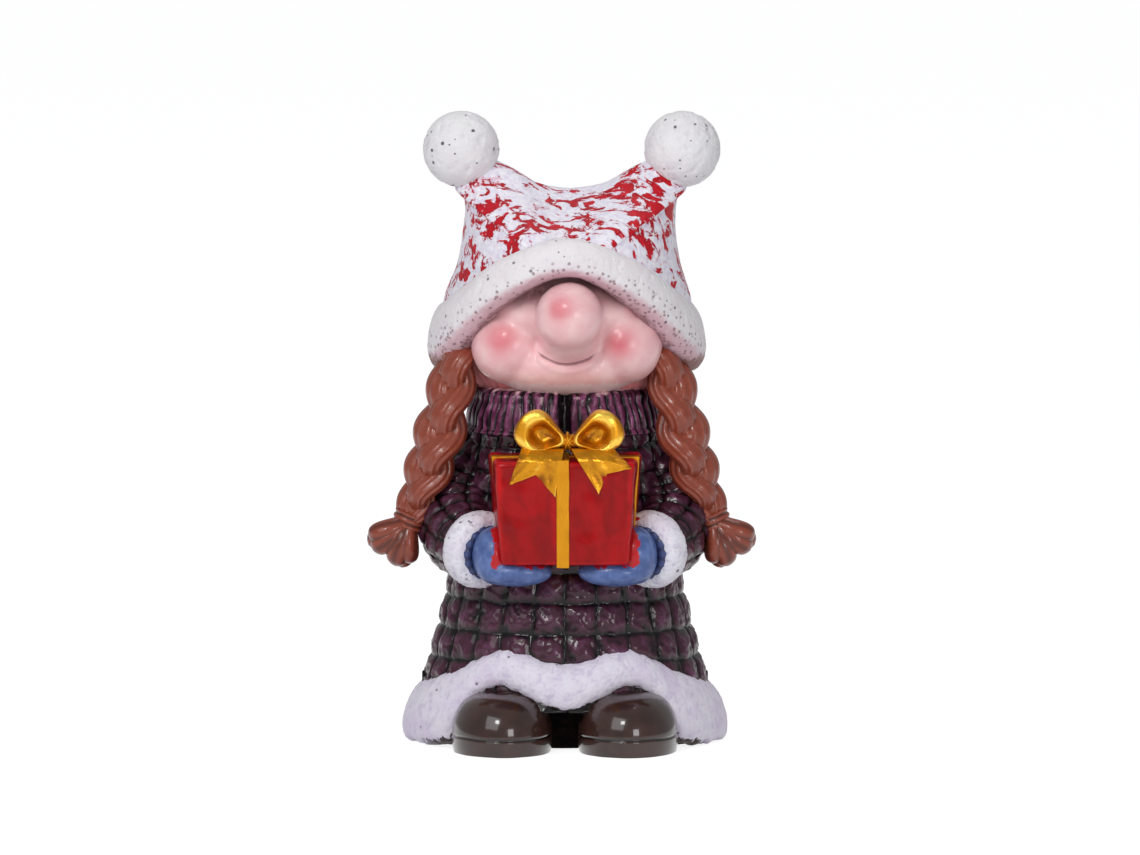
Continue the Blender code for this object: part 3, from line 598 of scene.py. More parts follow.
# %% [markdown]
# ## The foot between the boots
# Behind and between the boots the casting is filled. It is painted almost black as painted shade,
# for the shadow under the hem there. It is a plain drum that stands back from the front, and only a
# strip of it shows.

# %% Fill the foot
PLUG_HEIGHT = 16.0 * MM
PLUG_HALF_WIDTH = 34.0 * MM
PLUG_FRONT_DEPTH = 19.0 * MM
PLUG_BACK_DEPTH = 27.5 * MM


def plug_place(u, v):
    turn = TURN * u
    depth = PLUG_FRONT_DEPTH if math.cos(turn) > 0 else PLUG_BACK_DEPTH
    spot = on_ring(turn, PLUG_HALF_WIDTH, depth, v * PLUG_HEIGHT)
    wavy = 0.4 * MM * hills(spot, 3 * MM, 11)
    return spot + Vector((0, wavy, 0)), 0.5, 0


foot_paint = PaintPot("foot_shade_paint", 0.7, mirror=0.04)
# Painted shade: the foot is near-black for the shadow between the boots.
foot_paint.colour(foot_paint.mottled(screen(10, 6, 6), screen(34, 22, 22), 2 * MM, start=0.4))
foot_paint.bump(foot_paint.noise(1.2 * MM, 3), 0.15 * MM)
finish_piece("foot", rolled_grid(160, 16, plug_place), foot_paint)

# %% [markdown]
# ## The boots
# Two round-toed boots look out under the hem. Each is a dome on a thick sole, with a narrow welt
# line where they meet. The outline of the dome is a quarter circle, made fuller at the toe.

# %% Shape the boots
BOOT_SPACING = 29.7 * MM
BOOT_HALF_WIDTH = 12.0 * MM
BOOT_HALF_LENGTH = 15.5 * MM
BOOT_TOE_REACH = 39.0 * MM
BOOT_HEIGHT = 14.4 * MM
SOLE_HEIGHT = 4.2 * MM
WELT_GROOVE = 0.32 * MM
WELT_WIDTH = 0.32 * MM
TOE_FULLNESS = 0.62
SOLE_PART = 0.38


def boot_profile(v):
    """How wide the boot is, as a share, and its height, from the floor of the sole to the top."""
    if v < SOLE_PART:
        rise = v / SOLE_PART
        bulge = 1 - 0.05 * (1 - rise) ** 2
        return bulge * min(1, (rise * 8) ** 0.5), SOLE_HEIGHT * rise - 0.6 * MM * (1 - rise)
    swing = math.pi / 2 * (v - SOLE_PART) / (1 - SOLE_PART)
    return math.cos(swing) ** TOE_FULLNESS, SOLE_HEIGHT + (BOOT_HEIGHT - SOLE_HEIGHT) * math.sin(swing)


def boot_shape(side):
    middle = Vector((side * BOOT_SPACING / 2, BOOT_HALF_LENGTH - BOOT_TOE_REACH, 0))

    def place(u, v):
        share, height = boot_profile(v)
        groove = math.exp(-((height - SOLE_HEIGHT) / WELT_WIDTH) ** 2)
        turn = TURN * u
        width = share * BOOT_HALF_WIDTH - WELT_GROOVE * groove
        length = share * BOOT_HALF_LENGTH - WELT_GROOVE * groove
        spot = middle + on_ring(turn, width, length, height)
        spot.z += 0.25 * MM * hills(spot, 7 * MM, 12) * share
        return spot, 1 - groove, 0

    boot = rolled_grid(140, 130, place)
    stand_flat(boot)
    return boot


print(f"The toes stand out {BOOT_TOE_REACH / MM:.0f} mm")

# %% [markdown]
# ## Patent brown
# The boots are a warm black-brown under a thick gloss, with painted shade in the welt line.

# %% Paint the boots
boot_paint = PaintPot("boot_brown_paint", 0.3, coat=1.0, mirror=0.15)
boot_brown = boot_paint.mottled(screen(50, 31, 26), screen(66, 42, 36), 6 * MM, 3)
# Painted shade in the welt groove.
boot_paint.colour(boot_paint.relief_shaded(screen(26, 16, 16), boot_brown, 0.3, 0.9))
boot_paint.bump(boot_paint.noise(2.5 * MM, 3), 0.05 * MM)
finish_pair("boot", boot_shape, boot_paint)

# %% [markdown]
# ## The sleeves
# Each arm is a quilted tube that bends from the shoulder round the elbow to the wrist in front.
# Its middle line is a curve with the elbow as its control point, and the pads are the coat's.

# %% Shape the sleeves
SHOULDER = Vector((18.0, 1.0, 68.5)) * MM
ELBOW = Vector((31.5, -6.5, 50.5)) * MM
WRIST = Vector((20.3, -24.0, 48.0)) * MM
SHOULDER_RADIUS = 8.0 * MM
ELBOW_RADIUS = 8.8 * MM
WRIST_RADIUS = 7.2 * MM
SLEEVE_COLUMNS = 9
SLEEVE_ROWS = 7
SLEEVE_PUFF = 1.2 * MM


def sleeve_shape(side):
    def place(u, v):
        centre = SHOULDER * (1 - v) ** 2 + ELBOW * 2 * v * (1 - v) + WRIST * v ** 2
        way = ((ELBOW - SHOULDER) * (1 - v) + (WRIST - ELBOW) * v).normalized()
        outward = (Vector((1, 0, 0)) - way * way.x).normalized()
        across = way.cross(outward)
        radius = between(v, [(0, SHOULDER_RADIUS), (0.5, ELBOW_RADIUS), (1, WRIST_RADIUS)])
        turn = TURN * u
        ring = outward * math.cos(turn) + across * math.sin(turn)
        full, level = puckered(centre + ring * radius, u * SLEEVE_COLUMNS + 0.5, v * SLEEVE_ROWS)
        return sided(centre + ring * (radius + SLEEVE_PUFF * full), side), level, 0

    return rolled_grid(SLEEVE_COLUMNS * 18, SLEEVE_ROWS * SQUARES_UP_PAD, place)


finish_pair("sleeve", sleeve_shape, coat_paint)

# %% [markdown]
# ## The cuffs
# A fat ring of fur closes each sleeve. Its round section is swept about the wrist, square to the
# forearm's line, so three directions of the forearm are worked out first.

# %% Shape the cuffs
CUFF_RADIUS = 9.2 * MM
CUFF_THICKNESS = 7.2 * MM
CUFF_WALL = 6.4 * MM
CUFF_FULLNESS = 0.85
CUFF_FUR_DEPTH = 0.45 * MM
wrist_way = (WRIST - ELBOW).normalized()
wrist_level = wrist_way.cross(Vector((0, 0, 1))).normalized()
wrist_up = wrist_level.cross(wrist_way)


def ring_at(side, middle, radius, wall, thickness, fullness=1.0):
    """The place of points on a ring about the forearm's line."""
    def place(u, v):
        turn, section = TURN * u, TURN * v
        out = radius - wall / 2 + wall / 2 * fuller(math.cos(section), fullness)
        ring = wrist_level * math.cos(turn) + wrist_up * math.sin(turn)
        spot = middle + ring * out + wrist_way * thickness / 2 * fuller(math.sin(section), fullness)
        return sided(spot, side), 0.5, 0

    return place


def cuff_shape(side):
    cuff = rolled_grid(180, 72, ring_at(side, WRIST, CUFF_RADIUS, CUFF_WALL, CUFF_THICKNESS, CUFF_FULLNESS))
    sculpt(cuff, furred(CUFF_FUR_DEPTH))
    return cuff


print(f"A cuff is {2 * CUFF_RADIUS / MM:.1f} mm across")

# %% [markdown]
# ## Where the red ran over
# The gift was painted last and in a hurry: at its sides and lower corners red has run onto the
# mittens and the fur. A band round the gift's outline, broken up by noise, gives those spills.

# %% Size of the gift
GIFT_HALF_WIDTH = 15.8 * MM
GIFT_FLARE = 1.6 * MM
GIFT_TOP_FLARE = 1.6 * MM
GIFT_HEIGHT = 24.6 * MM
GIFT_FRONT = 38.0 * MM
GIFT_DEPTH = 23.0 * MM
GIFT_FLOOR = WRIST.z - 2.4 * MM
GIFT_ROOF = GIFT_FLOOR + GIFT_HEIGHT
SPILL = screen(190, 16, 24)


def spilt_red(pot, reach):
    """1 where red paint from the gift has run onto its neighbours."""
    beside = abs(pot.axis("X")) - (GIFT_HALF_WIDTH + 0.8 * MM)
    below = GIFT_FLOOR - 0.1 * MM - pot.axis("Z")
    away = beside.most(below)
    rough_edge = (pot.noise(3.2 * MM, 4, 0.6) - 0.5) * 7.0 * MM
    return pot.step(away + rough_edge, reach, reach - 0.35 * MM)


print(f"Halfway back, the gift's foot is {2 * GIFT_HALF_WIDTH / MM:.1f} mm wide")

# %% [markdown]
# ## The cuffs' white
# The cuffs have the hem's paint in a whiter mix, with lilac specks all over and large open bubbles
# in a few places only. A broad cloud of noise keeps the bubbles to those places, and the spilt red
# is laid over both.

# %% Paint the cuffs
cuff_paint = fur_paint(
    "cuff_fur_paint", screen(236, 234, 242), screen(210, 204, 222), screen(228, 218, 234), 2.0 * MM, 0.2,
)
speckle = cuff_paint.pinholes(0.9 * MM, 0.3, 0.3)
cuff_white = cuff_paint.mix(speckle * 0.4, cuff_paint.white, screen(186, 160, 196))
bubbly = cuff_paint.step(cuff_paint.noise(7 * MM, 2), 0.5, 0.58)
bubbles = cuff_paint.pinholes(1.5 * MM, 0.5, 0.36) * bubbly
# Painted shade inside the open bubbles and pinholes.
cuff_white = cuff_paint.mix(bubbles.most(cuff_paint.pits) * 0.9, cuff_white, PINHOLE_SHADE)
cuff_paint.colour(cuff_paint.mix(spilt_red(cuff_paint, 0.2 * MM), cuff_white, SPILL))
finish_pair("cuff", cuff_shape, cuff_paint)

# %% [markdown]
# ## The mittens
# A mitten is a palm beside the gift and fingers under it, in one soft mass. Two eggs are put
# together, remeshed into one skin of even squares and then smoothed, which melts the corner
# between them as a thumb would in clay.

# %% Melt shapes together
def egg(centre, size):
    """A ball with a half size of its own along each axis."""
    skin = bmesh.new()
    bmesh.ops.create_uvsphere(skin, u_segments=48, v_segments=32, radius=1)
    bmesh.ops.scale(skin, vec=size, verts=skin.verts)
    bmesh.ops.translate(skin, vec=centre, verts=skin.verts)
    return skin


def melted(skins, square, rounds):
    """The shapes as one skin of even squares, with the corners between them smoothed."""
    mesh = bpy.data.meshes.new("clay")
    rough = merge(skins)
    rough.to_mesh(mesh)
    rough.free()
    clay = bpy.data.objects.new("clay", mesh)
    bpy.context.scene.collection.objects.link(clay)
    remesh = clay.modifiers.new("even_squares", "REMESH")
    remesh.mode = "VOXEL"
    remesh.voxel_size = square
    graph = bpy.context.evaluated_depsgraph_get()
    even = bpy.data.meshes.new_from_object(clay.evaluated_get(graph))
    bpy.data.objects.remove(clay)
    skin = bmesh.new()
    skin.from_mesh(even)
    add_marks(skin)
    bpy.data.meshes.remove(even)
    for _ in range(rounds):
        bmesh.ops.smooth_vert(
            skin, verts=skin.verts, factor=0.5, use_axis_x=True, use_axis_y=True, use_axis_z=True,
        )
    print(f"Melted into {len(skin.faces)} squares of {square / MM:.2f} mm")
    return skin


# %% [markdown]
# ## Two eggs for a mitten
# The palm follows the forearm's line out of the cuff, and the fingers lie level under the gift. So
# the palm is placed from the wrist, and the height of the fingers comes from the gift's foot. The
# blue is a little cloudy, and the spilt red has run onto it too.

# %% Shape the mittens
PALM_SIZE = Vector((5.2, 6.2, 6.9)) * MM
FINGER_SIZE = Vector((8.9, 5.7, 3.5)) * MM
PALM = WRIST + wrist_way * (CUFF_THICKNESS / 2 + PALM_SIZE.y * 0.5)
FINGERS = Vector((PALM.x - 4.9 * MM, PALM.y - 1.3 * MM, GIFT_FLOOR - 2.2 * MM))


def mitten_tool(spot):
    crease = hills(spot, 3.2 * MM, 13)
    return 0.12 * MM * crease, 0.6 + 0.4 * crease, 0


def mitten_shape(side):
    mitten = melted([egg(sided(PALM, side), PALM_SIZE), egg(sided(FINGERS, side), FINGER_SIZE)], 0.3 * MM, 14)
    sculpt(mitten, mitten_tool)
    return mitten


mitten_paint = PaintPot("mitten_blue_paint", 0.36, coat=0.25, mirror=0.3)
mitten_blue = mitten_paint.mottled(screen(72, 94, 148), screen(96, 120, 176), 2.4 * MM)
mitten_paint.colour(mitten_paint.mix(spilt_red(mitten_paint, 0.35 * MM), mitten_blue, SPILL))
mitten_paint.bump(mitten_paint.noise(1.1 * MM, 4), 0.06 * MM)
finish_pair("mitten", mitten_shape, mitten_paint)

# %% [markdown]
# ## The knitted edge of a mitten
# Where the mitten enters the fur there is a thin darker ring with small scallops. A slim ring
# whose radius swells and sinks fifteen times round gives it.

# %% Shape the mitten edges
EDGE_SCALLOPS = 15
EDGE_RADIUS = 6.6 * MM
EDGE_WALL = 2.6 * MM
EDGE_THICKNESS = 2.2 * MM
edge_middle = WRIST + wrist_way * CUFF_THICKNESS * 0.42


def mitten_edge_shape(side):
    plain = ring_at(side, edge_middle, EDGE_RADIUS, EDGE_WALL, EDGE_THICKNESS)
    middle = sided(edge_middle, side)

    def place(u, v):
        spot = plain(u, v)[0]
        scallop = abs(math.sin(math.pi * EDGE_SCALLOPS * u))
        return middle + (spot - middle) * (0.96 + 0.06 * scallop), scallop, 0

    return rolled_grid(156, 20, place)


edge_paint = PaintPot("mitten_edge_paint", 0.4, coat=0.2, mirror=0.3)
# The band's blue, with painted shade between the scallops and a painted highlight on their tops.
edge_paint.colour(edge_paint.mix(edge_paint.raised, screen(34, 38, 70), screen(66, 78, 124)))
edge_paint.bump(edge_paint.noise(0.8 * MM, 3), 0.08 * MM)
finish_pair("mitten_edge", mitten_edge_shape, edge_paint)

# %% [markdown]
# ## The gift
# The gift is a small box with soft edges. A cube is stretched to size, its back made a little
# wider so that it would leave the mould, its edges bevelled and its faces cut into small squares,
# and then noise makes the sides as uneven as poured resin is.

# %% Shape a soft block
def soft_block(low, high, flare, top_flare, edge, cuts, wobble):
    """A box with rounded edges that widens by flare to its back and by top_flare to its top."""
    skin = add_marks(bmesh.new())
    bmesh.ops.create_cube(skin, size=1)
    size = high - low
    for corner in skin.verts:
        share = corner.co + Vector((0.5, 0.5, 0.5))
        spread = (flare * (share.y - 0.5) + top_flare * share.z) * (1 if share.x > 0.5 else -1)
        corner.co = low + size * share + Vector((spread, 0, 0))
    bmesh.ops.bevel(
        skin, geom=skin.edges, offset=edge, offset_type="OFFSET", segments=4, profile=0.5,
        affect="EDGES", clamp_overlap=True, material=-1,
    )
    long_edges = [e for e in skin.edges if e.calc_length() > 3 * edge]
    bmesh.ops.subdivide_edges(skin, edges=long_edges, cuts=cuts, use_grid_fill=True)
    bmesh.ops.recalc_face_normals(skin, faces=skin.faces)
    middle = (low + high) / 2

    def uneven(spot):
        away = Vector([abs(spot[axis] - middle[axis]) / (size[axis] / 2) for axis in range(3)])
        second = sorted(away)[1]
        return wobble * hills(spot, 5 * MM, 14), second, 0

    sculpt(skin, uneven)
    print(f"A soft block of {len(skin.faces)} faces")
    return skin


# %% [markdown]
# ## Red gloss
# The red is deep and glossy, with a painted highlight along the edges. The brush strokes
# left upright streaks, darker where the paint lay thin, and faint waves that bend the light.

# %% Paint the gift
gift_paint = PaintPot("gift_red_paint", 0.34, coat=0.2, mirror=0.1)
streaks = gift_paint.noise(4.5 * MM, 5, 0.55, gift_paint.stretched(80, 2.0), 0.4)
streaked = gift_paint.step(streaks, 0.3, 0.75)
gift_tone = gift_paint.mix(streaked, screen(138, 5, 9), screen(176, 9, 14))
# Painted highlight: a brighter red along the gift's edges.
gift_edge_highlight = gift_paint.step(gift_paint.raised + 0.1 * streaks, 0.95, 1.06)
gift_paint.colour(gift_paint.mix(gift_edge_highlight * 0.6, gift_tone, screen(232, 24, 26)))
gift_paint.bump(gift_paint.noise(2.6 * MM, 4, 0.55), 0.16 * MM)
gift = soft_block(
    Vector((-GIFT_HALF_WIDTH, -GIFT_FRONT, GIFT_FLOOR)),
    Vector((GIFT_HALF_WIDTH, GIFT_DEPTH - GIFT_FRONT, GIFT_ROOF)),
    GIFT_FLARE, GIFT_TOP_FLARE, 1.3 * MM, 40, 0.3 * MM,
)
finish_piece("gift", gift, gift_paint)

# %% [markdown]
# ## Gold
# The ribbons and the bow are gold: a metallic paint with faint lines along the ribbon, painted
# shade in brown in the folds and painted highlights on the raised parts. One function mixes it for
# both, because the ribbons are duller than the bow.

# %% Gold paint
GOLD_METAL = 0.72


def gold_paint(name, turn_degrees, roughness):
    """Gold paint, with its lines turned by this much in the picture plane."""
    pot = PaintPot(name, roughness, metallic=GOLD_METAL)
    lines = pot.noise(1.1 * MM, 3, 0.6, pot.stretched(turn_degrees, 4.0))
    foil = pot.noise(1.6 * MM, 4, 0.6)
    # Painted shade in brown in the folds, and painted highlights where the gold is raised.
    out_of_fold = pot.step(pot.raised + 0.3 * foil, 0.1, 0.8)
    gold_highlight = pot.step(pot.raised + 0.5 * lines, 0.95, 1.35)
    low_gold = pot.mix(out_of_fold, screen(128, 66, 6), screen(216, 146, 20))
    pot.colour(pot.mix(gold_highlight, low_gold, screen(255, 208, 84)))
    pot.roughness(roughness - 0.06 + 0.2 * lines)
    pot.bump(lines + foil, 0.14 * MM)
    print(f"{name} is {pot.shader.inputs['Metallic'].default_value:.2f} metal")
    return pot


# %% [markdown]
# ## Ribbons
# One ribbon goes over the gift's front and one over its sides. They are the same soft block again,
# only thin, and they stand less than a millimetre proud of the red.

# %% Shape the ribbons
RIBBON_WIDTH = 3.0 * MM
RIBBON_SHIFT = Vector((-0.5, 0, 0)) * MM
RIBBON_PROUD = 0.5 * MM
SIDE_RIBBON_PROUD = 0.3 * MM
ribbon_half = RIBBON_WIDTH / 2
gift_middle = GIFT_DEPTH / 2 - GIFT_FRONT
proud = Vector((0, RIBBON_PROUD, RIBBON_PROUD))
ribbon_paint = gold_paint("ribbon_gold_paint", 90, 0.42)
front_ribbon = soft_block(
    Vector((-ribbon_half, -GIFT_FRONT, GIFT_FLOOR)) - proud + RIBBON_SHIFT,
    Vector((ribbon_half, GIFT_DEPTH - GIFT_FRONT, GIFT_ROOF)) + proud + RIBBON_SHIFT,
    0, 0, 0.25 * MM, 30, 0.2 * MM,
)
side_ribbon = soft_block(
    Vector((-GIFT_HALF_WIDTH, gift_middle - ribbon_half, GIFT_FLOOR + 0.9 * MM)),
    Vector((GIFT_HALF_WIDTH + SIDE_RIBBON_PROUD, gift_middle + ribbon_half, GIFT_ROOF + SIDE_RIBBON_PROUD)),
    GIFT_FLARE * RIBBON_WIDTH / GIFT_DEPTH, GIFT_TOP_FLARE, 0.25 * MM, 30, 0.12 * MM,
)


def even_gold(spot):
    """Keeps the shape, and marks the ribbon as raised, a little less in clouds, for its painted shade and
    highlights.
    """
    return 0, 0.62 + 0.25 * hills(spot, 3 * MM, 21), 0


for name, ribbon in (("ribbon_front", front_ribbon), ("ribbon_side", side_ribbon)):
    sculpt(ribbon, even_gold)
    finish_piece(name, ribbon, ribbon_paint)

# %% [markdown]
# ## The bow's loops
# Each loop is a ribbon rolled into a drop shape, seen from its open side: a bright rim round a
# dark hollow, pointed towards the knot. One outline is drawn from the middle of the back, over
# the rim and into the hollow, and it is carried round the drop.

# %% Shape the loops
KNOT_RADIUS = 2.1 * MM
BOW_SETBACK = 4.5 * MM
KNOT = Vector((0.6 * MM, BOW_SETBACK - GIFT_FRONT, GIFT_ROOF + 4.4 * MM))
LOOP_HALF_WIDTH = 5.5 * MM
LOOP_HALF_HEIGHT = 5.0 * MM
LOOP_DEPTH = 7.0 * MM
LOOP_SPREAD = 7.4 * MM
LOOP_SHIFT = 0.4 * MM
half_loop = LOOP_DEPTH / 2
LOOP_SHARE = [
    (0, 0), (0.1, 0.8), (0.2, 1), (0.32, 0.98), (0.42, 0.86), (0.5, 0.7), (0.58, 0.58), (0.75, 0.42),
    (0.9, 0.22), (1, 0),
]
LOOP_Y = [
    (0, half_loop), (0.1, half_loop * 0.8), (0.2, -half_loop * 0.1), (0.32, -half_loop * 0.7),
    (0.42, -half_loop * 0.97), (0.5, -half_loop), (0.58, -half_loop * 0.7), (0.75, -half_loop * 0.2),
    (0.9, 0), (1, 0),
]
# How raised the outline is: painted highlight on the rim and painted shade in the hollow.
LOOP_LEVEL = [(0, 0.5), (0.3, 0.8), (0.46, 0.95), (0.56, 0.75), (0.7, 0.55), (0.85, 0.4), (1, 0.35)]


def loop_shape(side):
    middle = KNOT + Vector((side * LOOP_SPREAD + LOOP_SHIFT, LOOP_DEPTH * 0.1, LOOP_HALF_HEIGHT * 0.48))

    def place(u, v):
        share, depth, level = (between(v, stops) for stops in (LOOP_SHARE, LOOP_Y, LOOP_LEVEL))
        turn = TURN * u
        inward = max(0, -math.cos(turn)) ** 2
        pull = 1 - 0.45 * inward * abs(math.sin(turn))
        crease = math.cos(3 * turn + 6 * v) * 0.2 * MM * share
        # the hollow lies nearer to the knot, so the ribbon is broad outside and thin inside
        hollow = min(1, max(0, (v - 0.36) / 0.2))
        broad = share * LOOP_HALF_WIDTH + crease
        spot = middle + Vector((
            side * (broad * math.cos(turn) * (1 + 0.18 * inward) - hollow * 1.2 * MM),
            depth,
            (share * LOOP_HALF_HEIGHT + crease) * math.sin(turn) * pull
            - 0.35 * share * LOOP_HALF_HEIGHT * inward - hollow * 0.7 * MM,
        ))
        return spot, level + crease * 2 / MM - 0.2 * hollow * inward, 0

    return rolled_grid(110, 96, place)


bow_paint = gold_paint("bow_gold_paint", 20, 0.26)
finish_pair("bow_loop", loop_shape, bow_paint)

# %% [markdown]
# ## The knot and the tails
# The tails come out under the knot, fold over the gift's front edge and end in swallowtails. The
# left one hangs down, and the right one swings out to the side. A tail is a flat grid that is
# bent over the edge, then given its thickness by Solidify. The knot is a small gathered ball.

# %% Shape the tails
TAIL_THICKNESS = 1.3 * MM
TAIL_TOP_WIDTH = 10.0 * MM
TAIL_RISE = 3.0 * MM
TAIL_OUTER_TIP = {-1: (13.8 * MM, 8.4 * MM), 1: (15.2 * MM, 4.4 * MM)}
TAIL_INNER_TIP = {-1: (2.9 * MM, 11.2 * MM), 1: (7.4 * MM, 10.5 * MM)}
TAIL_NOTCH = {-1: (-0.9 * MM, -3.8 * MM), 1: (-2.0 * MM, -1.7 * MM)}


def tail_fold(across, down):
    """Broad folds that spread from the knot, with foil creases on them, from about -1 to 1."""
    broad = math.cos(8.5 * across + 1.6 * math.sin(3 * down))
    foil = pucker(Vector((across * 9, down * 4, 0)), 2.4, 24)
    return (0.7 * broad + 0.45 * foil) * min(1, 0.3 + down)


def tail_point(side, across, down):
    cut_in = 1 - abs(2 * across - 1)
    ends = zip(TAIL_INNER_TIP[side], TAIL_OUTER_TIP[side], TAIL_NOTCH[side])
    end_x, end_drop = [inner * (1 - across) + outer * across + notch * cut_in for inner, outer, notch in ends]
    x = (KNOT_RADIUS * 0.4 + across * TAIL_TOP_WIDTH) * (1 - down) + end_x * down
    z = GIFT_ROOF + TAIL_RISE - end_drop * down
    swell = KNOT_RADIUS * (1 - down) ** 2
    y = -GIFT_FRONT - TAIL_THICKNESS * 0.25 - 0.4 * swell * math.sin(math.pi * across)
    over_edge = min(1, max(0, (z - GIFT_ROOF) / TAIL_RISE))
    y += over_edge ** 1.5 * BOW_SETBACK * 0.7 - 0.28 * MM * tail_fold(across, down)
    return Vector((KNOT.x + side * x, y, z))


def tail_shape(side):
    skin = add_marks(bmesh.new())
    bmesh.ops.create_grid(skin, x_segments=60, y_segments=44, size=1)
    raised = marks_of(skin)[0]
    for point in skin.verts:
        across, down = (point.co.x + 1) / 2, (1 - point.co.y) / 2
        # How raised the folds are, for the gold's painted shade and highlights.
        point[raised] = 0.5 + 0.4 * tail_fold(across, down)
        point.co = tail_point(side, across, down)
    bmesh.ops.recalc_face_normals(skin, faces=skin.faces)
    if sum(face.normal.y for face in skin.faces) > 0:
        bmesh.ops.reverse_faces(skin, faces=skin.faces)
    bmesh.ops.solidify(skin, geom=skin.faces, thickness=TAIL_THICKNESS)
    bmesh.ops.recalc_face_normals(skin, faces=skin.faces)
    return skin


def knot_place(u, v):
    turn, swing = TURN * u, math.pi * v
    gather = 0.12 * math.cos(9 * turn) * math.sin(swing)
    flat = math.sin(swing)
    way = Vector((flat * math.sin(turn), -math.cos(swing), flat * math.cos(turn)))
    # The gathers' raised marks give the gold painted shade and highlights.
    return KNOT + way * KNOT_RADIUS * (1 + gather), 0.6 + 3 * gather, 0


finish_pair("bow_tail", tail_shape, bow_paint)
finish_piece("bow_knot", rolled_grid(108, 40, knot_place), bow_paint)

# %% [markdown]
# ## The collar
# A ribbed roll collar stands between the coat and the chin, split at the front. Its ribs are the
# size of a sine wave without its lower half, so that they are round on top with narrow valleys, as
# knitting is. Noise makes each one wander, because no two were cut alike.

# %% Shape the collar
COLLAR_HEIGHT = 11.0 * MM
COLLAR_FLOOR = NECK_HEIGHT - 3.0 * MM
COLLAR_HALF_WIDTH = 23.0 * MM
COLLAR_HALF_DEPTH = 21.8 * MM
COLLAR_TAPER = 2.0 * MM
COLLAR_RIBS = 60
RIB_HEIGHT = 0.9 * MM
RIB_FULLNESS = 0.42
RIB_WANDER = 1.5
COLLAR_NOTCH = 2.4 * MM
NOTCH_DEGREES = 3.0
COLLAR_SHARE = [(0, 0), (0.15, 0.94), (0.28, 1), (0.68, 0.99), (0.84, 0.88), (1, 0)]
COLLAR_RISE = [(0, 0), (0.15, 0), (0.28, 0.16), (0.68, 0.68), (0.84, 1), (1, 1)]


def collar_place(u, v):
    share, rise = between(v, COLLAR_SHARE), between(v, COLLAR_RISE)
    turn = TURN * u
    round_spot = Vector((12 * math.sin(turn), 12 * math.cos(turn), 1.6 * rise))
    wander = RIB_WANDER * hills(round_spot, 1.0, 15)
    rib = abs(math.cos(math.pi * COLLAR_RIBS * u + wander)) ** RIB_FULLNESS
    rib *= 0.85 + 0.3 * hills(round_spot * 2, 1.0, 14)
    away = abs((math.degrees(turn) + 180) % 360 - 180)
    split = math.exp(-(away / NOTCH_DEGREES) ** 2)
    reach = RIB_HEIGHT * rib * min(1, share * 1.2) - COLLAR_NOTCH * split - COLLAR_TAPER * rise
    half_width, half_depth = share * (COLLAR_HALF_WIDTH + reach), share * (COLLAR_HALF_DEPTH + reach)
    spot = on_ring(turn, half_width, half_depth, COLLAR_FLOOR + COLLAR_HEIGHT * rise)
    ragged = 0.12 * hills(spot, 1.6 * MM, 16)
    spot.z += 3.5 * MM * ragged * rise ** 3
    return spot, rib * (1 - split) * 0.9 + ragged, min(1, max(0, 1 - share + ragged)) * rise


print(f"The collar has {COLLAR_RIBS} ribs")

# %% [markdown]
# ## The collar's plum
# The collar has the coat's plum, only redder, with painted shade between the ribs and painted highlights
# on them. Along its top edge some pink from the chin was left, in a ragged line.

# %% Paint the collar
collar_paint = PaintPot("collar_plum_paint", 0.34, coat=0.35, mirror=0.15)
collar_cloud = collar_paint.noise(2.4 * MM, 5, 0.65)
# Painted highlights on the ribs, and painted shade in the grooves between them.
rib_highlight = collar_paint.step(collar_paint.raised * 0.6 + collar_cloud * 0.8, 0.8, 1.1)
collar_plum = collar_paint.relief_shaded(screen(18, 7, 13), screen(102, 44, 76), 0.4, 0.8)
collar_plum = collar_paint.mix(rib_highlight * 0.8, collar_plum, screen(168, 96, 142))
pink_edge = collar_paint.step(collar_paint.edge, 0.04, 0.1)
collar_paint.colour(collar_paint.mix(pink_edge, collar_plum, screen(226, 186, 192)))
collar_paint.bump(collar_paint.noise(0.7 * MM, 3), 0.08 * MM)
finish_piece("collar", rolled_grid(COLLAR_RIBS * 10, 60, collar_place), collar_paint)

# %% [markdown]
# ## The face
# Under the brim there is only a ball of a nose, two fat cheeks and a smile. The face is made as a
# potter would: balls of clay for the head, brow, cheeks, chin, lip and nose are pressed together,
# melted into one skin and smoothed, and then the smile is cut in with a fine tool.

# %% Shape the face
COLLAR_TOP = COLLAR_FLOOR + COLLAR_HEIGHT
HEAD_MIDDLE = Vector((0.4 * MM, 0, COLLAR_TOP + 11.5 * MM))
HEAD_SIZE = Vector((22.4, 21.5, 17.5)) * MM
BROW_SIZE = Vector((19.0, 14.5, 10.0)) * MM
BROW_PLACE = Vector((0, -10.8, 7.2)) * MM
CHEEK_SPACING = 27.4 * MM
CHEEK_RADIUS = 9.0 * MM
CHEEK_DROP = 1.2 * MM
CHIN_SIZE = Vector((18.5, 11.4, 8.0)) * MM
CHIN_PROUD = 2.4 * MM
CHIN_DROP = 5.6 * MM
LIP_SIZE = Vector((7.4, 9.5, 7.4)) * MM
LIP_DROP = 4.6 * MM
NOSE_SIZE = Vector((8.1, 7.9, 8.2)) * MM
NOSE_REACH = 34.8 * MM
NOSE = HEAD_MIDDLE + Vector((0.6 * MM, NOSE_SIZE.y - NOSE_REACH, 7.0 * MM))
LIP = NOSE + Vector((0, (NOSE_REACH - HEAD_SIZE.y) * 0.55, -LIP_DROP))
SMILE = [(x * MM, z * MM) for x, z in ((-7.6, 96.4), (-5.6, 93.9), (-0.4, 91.8), (5.4, 92.9), (8.2, 95.2))]
SMILE_HALF_WIDTH = 7.6 * MM
SMILE_DEPTH = 0.5 * MM
LIP_SWELL = 0.3 * MM
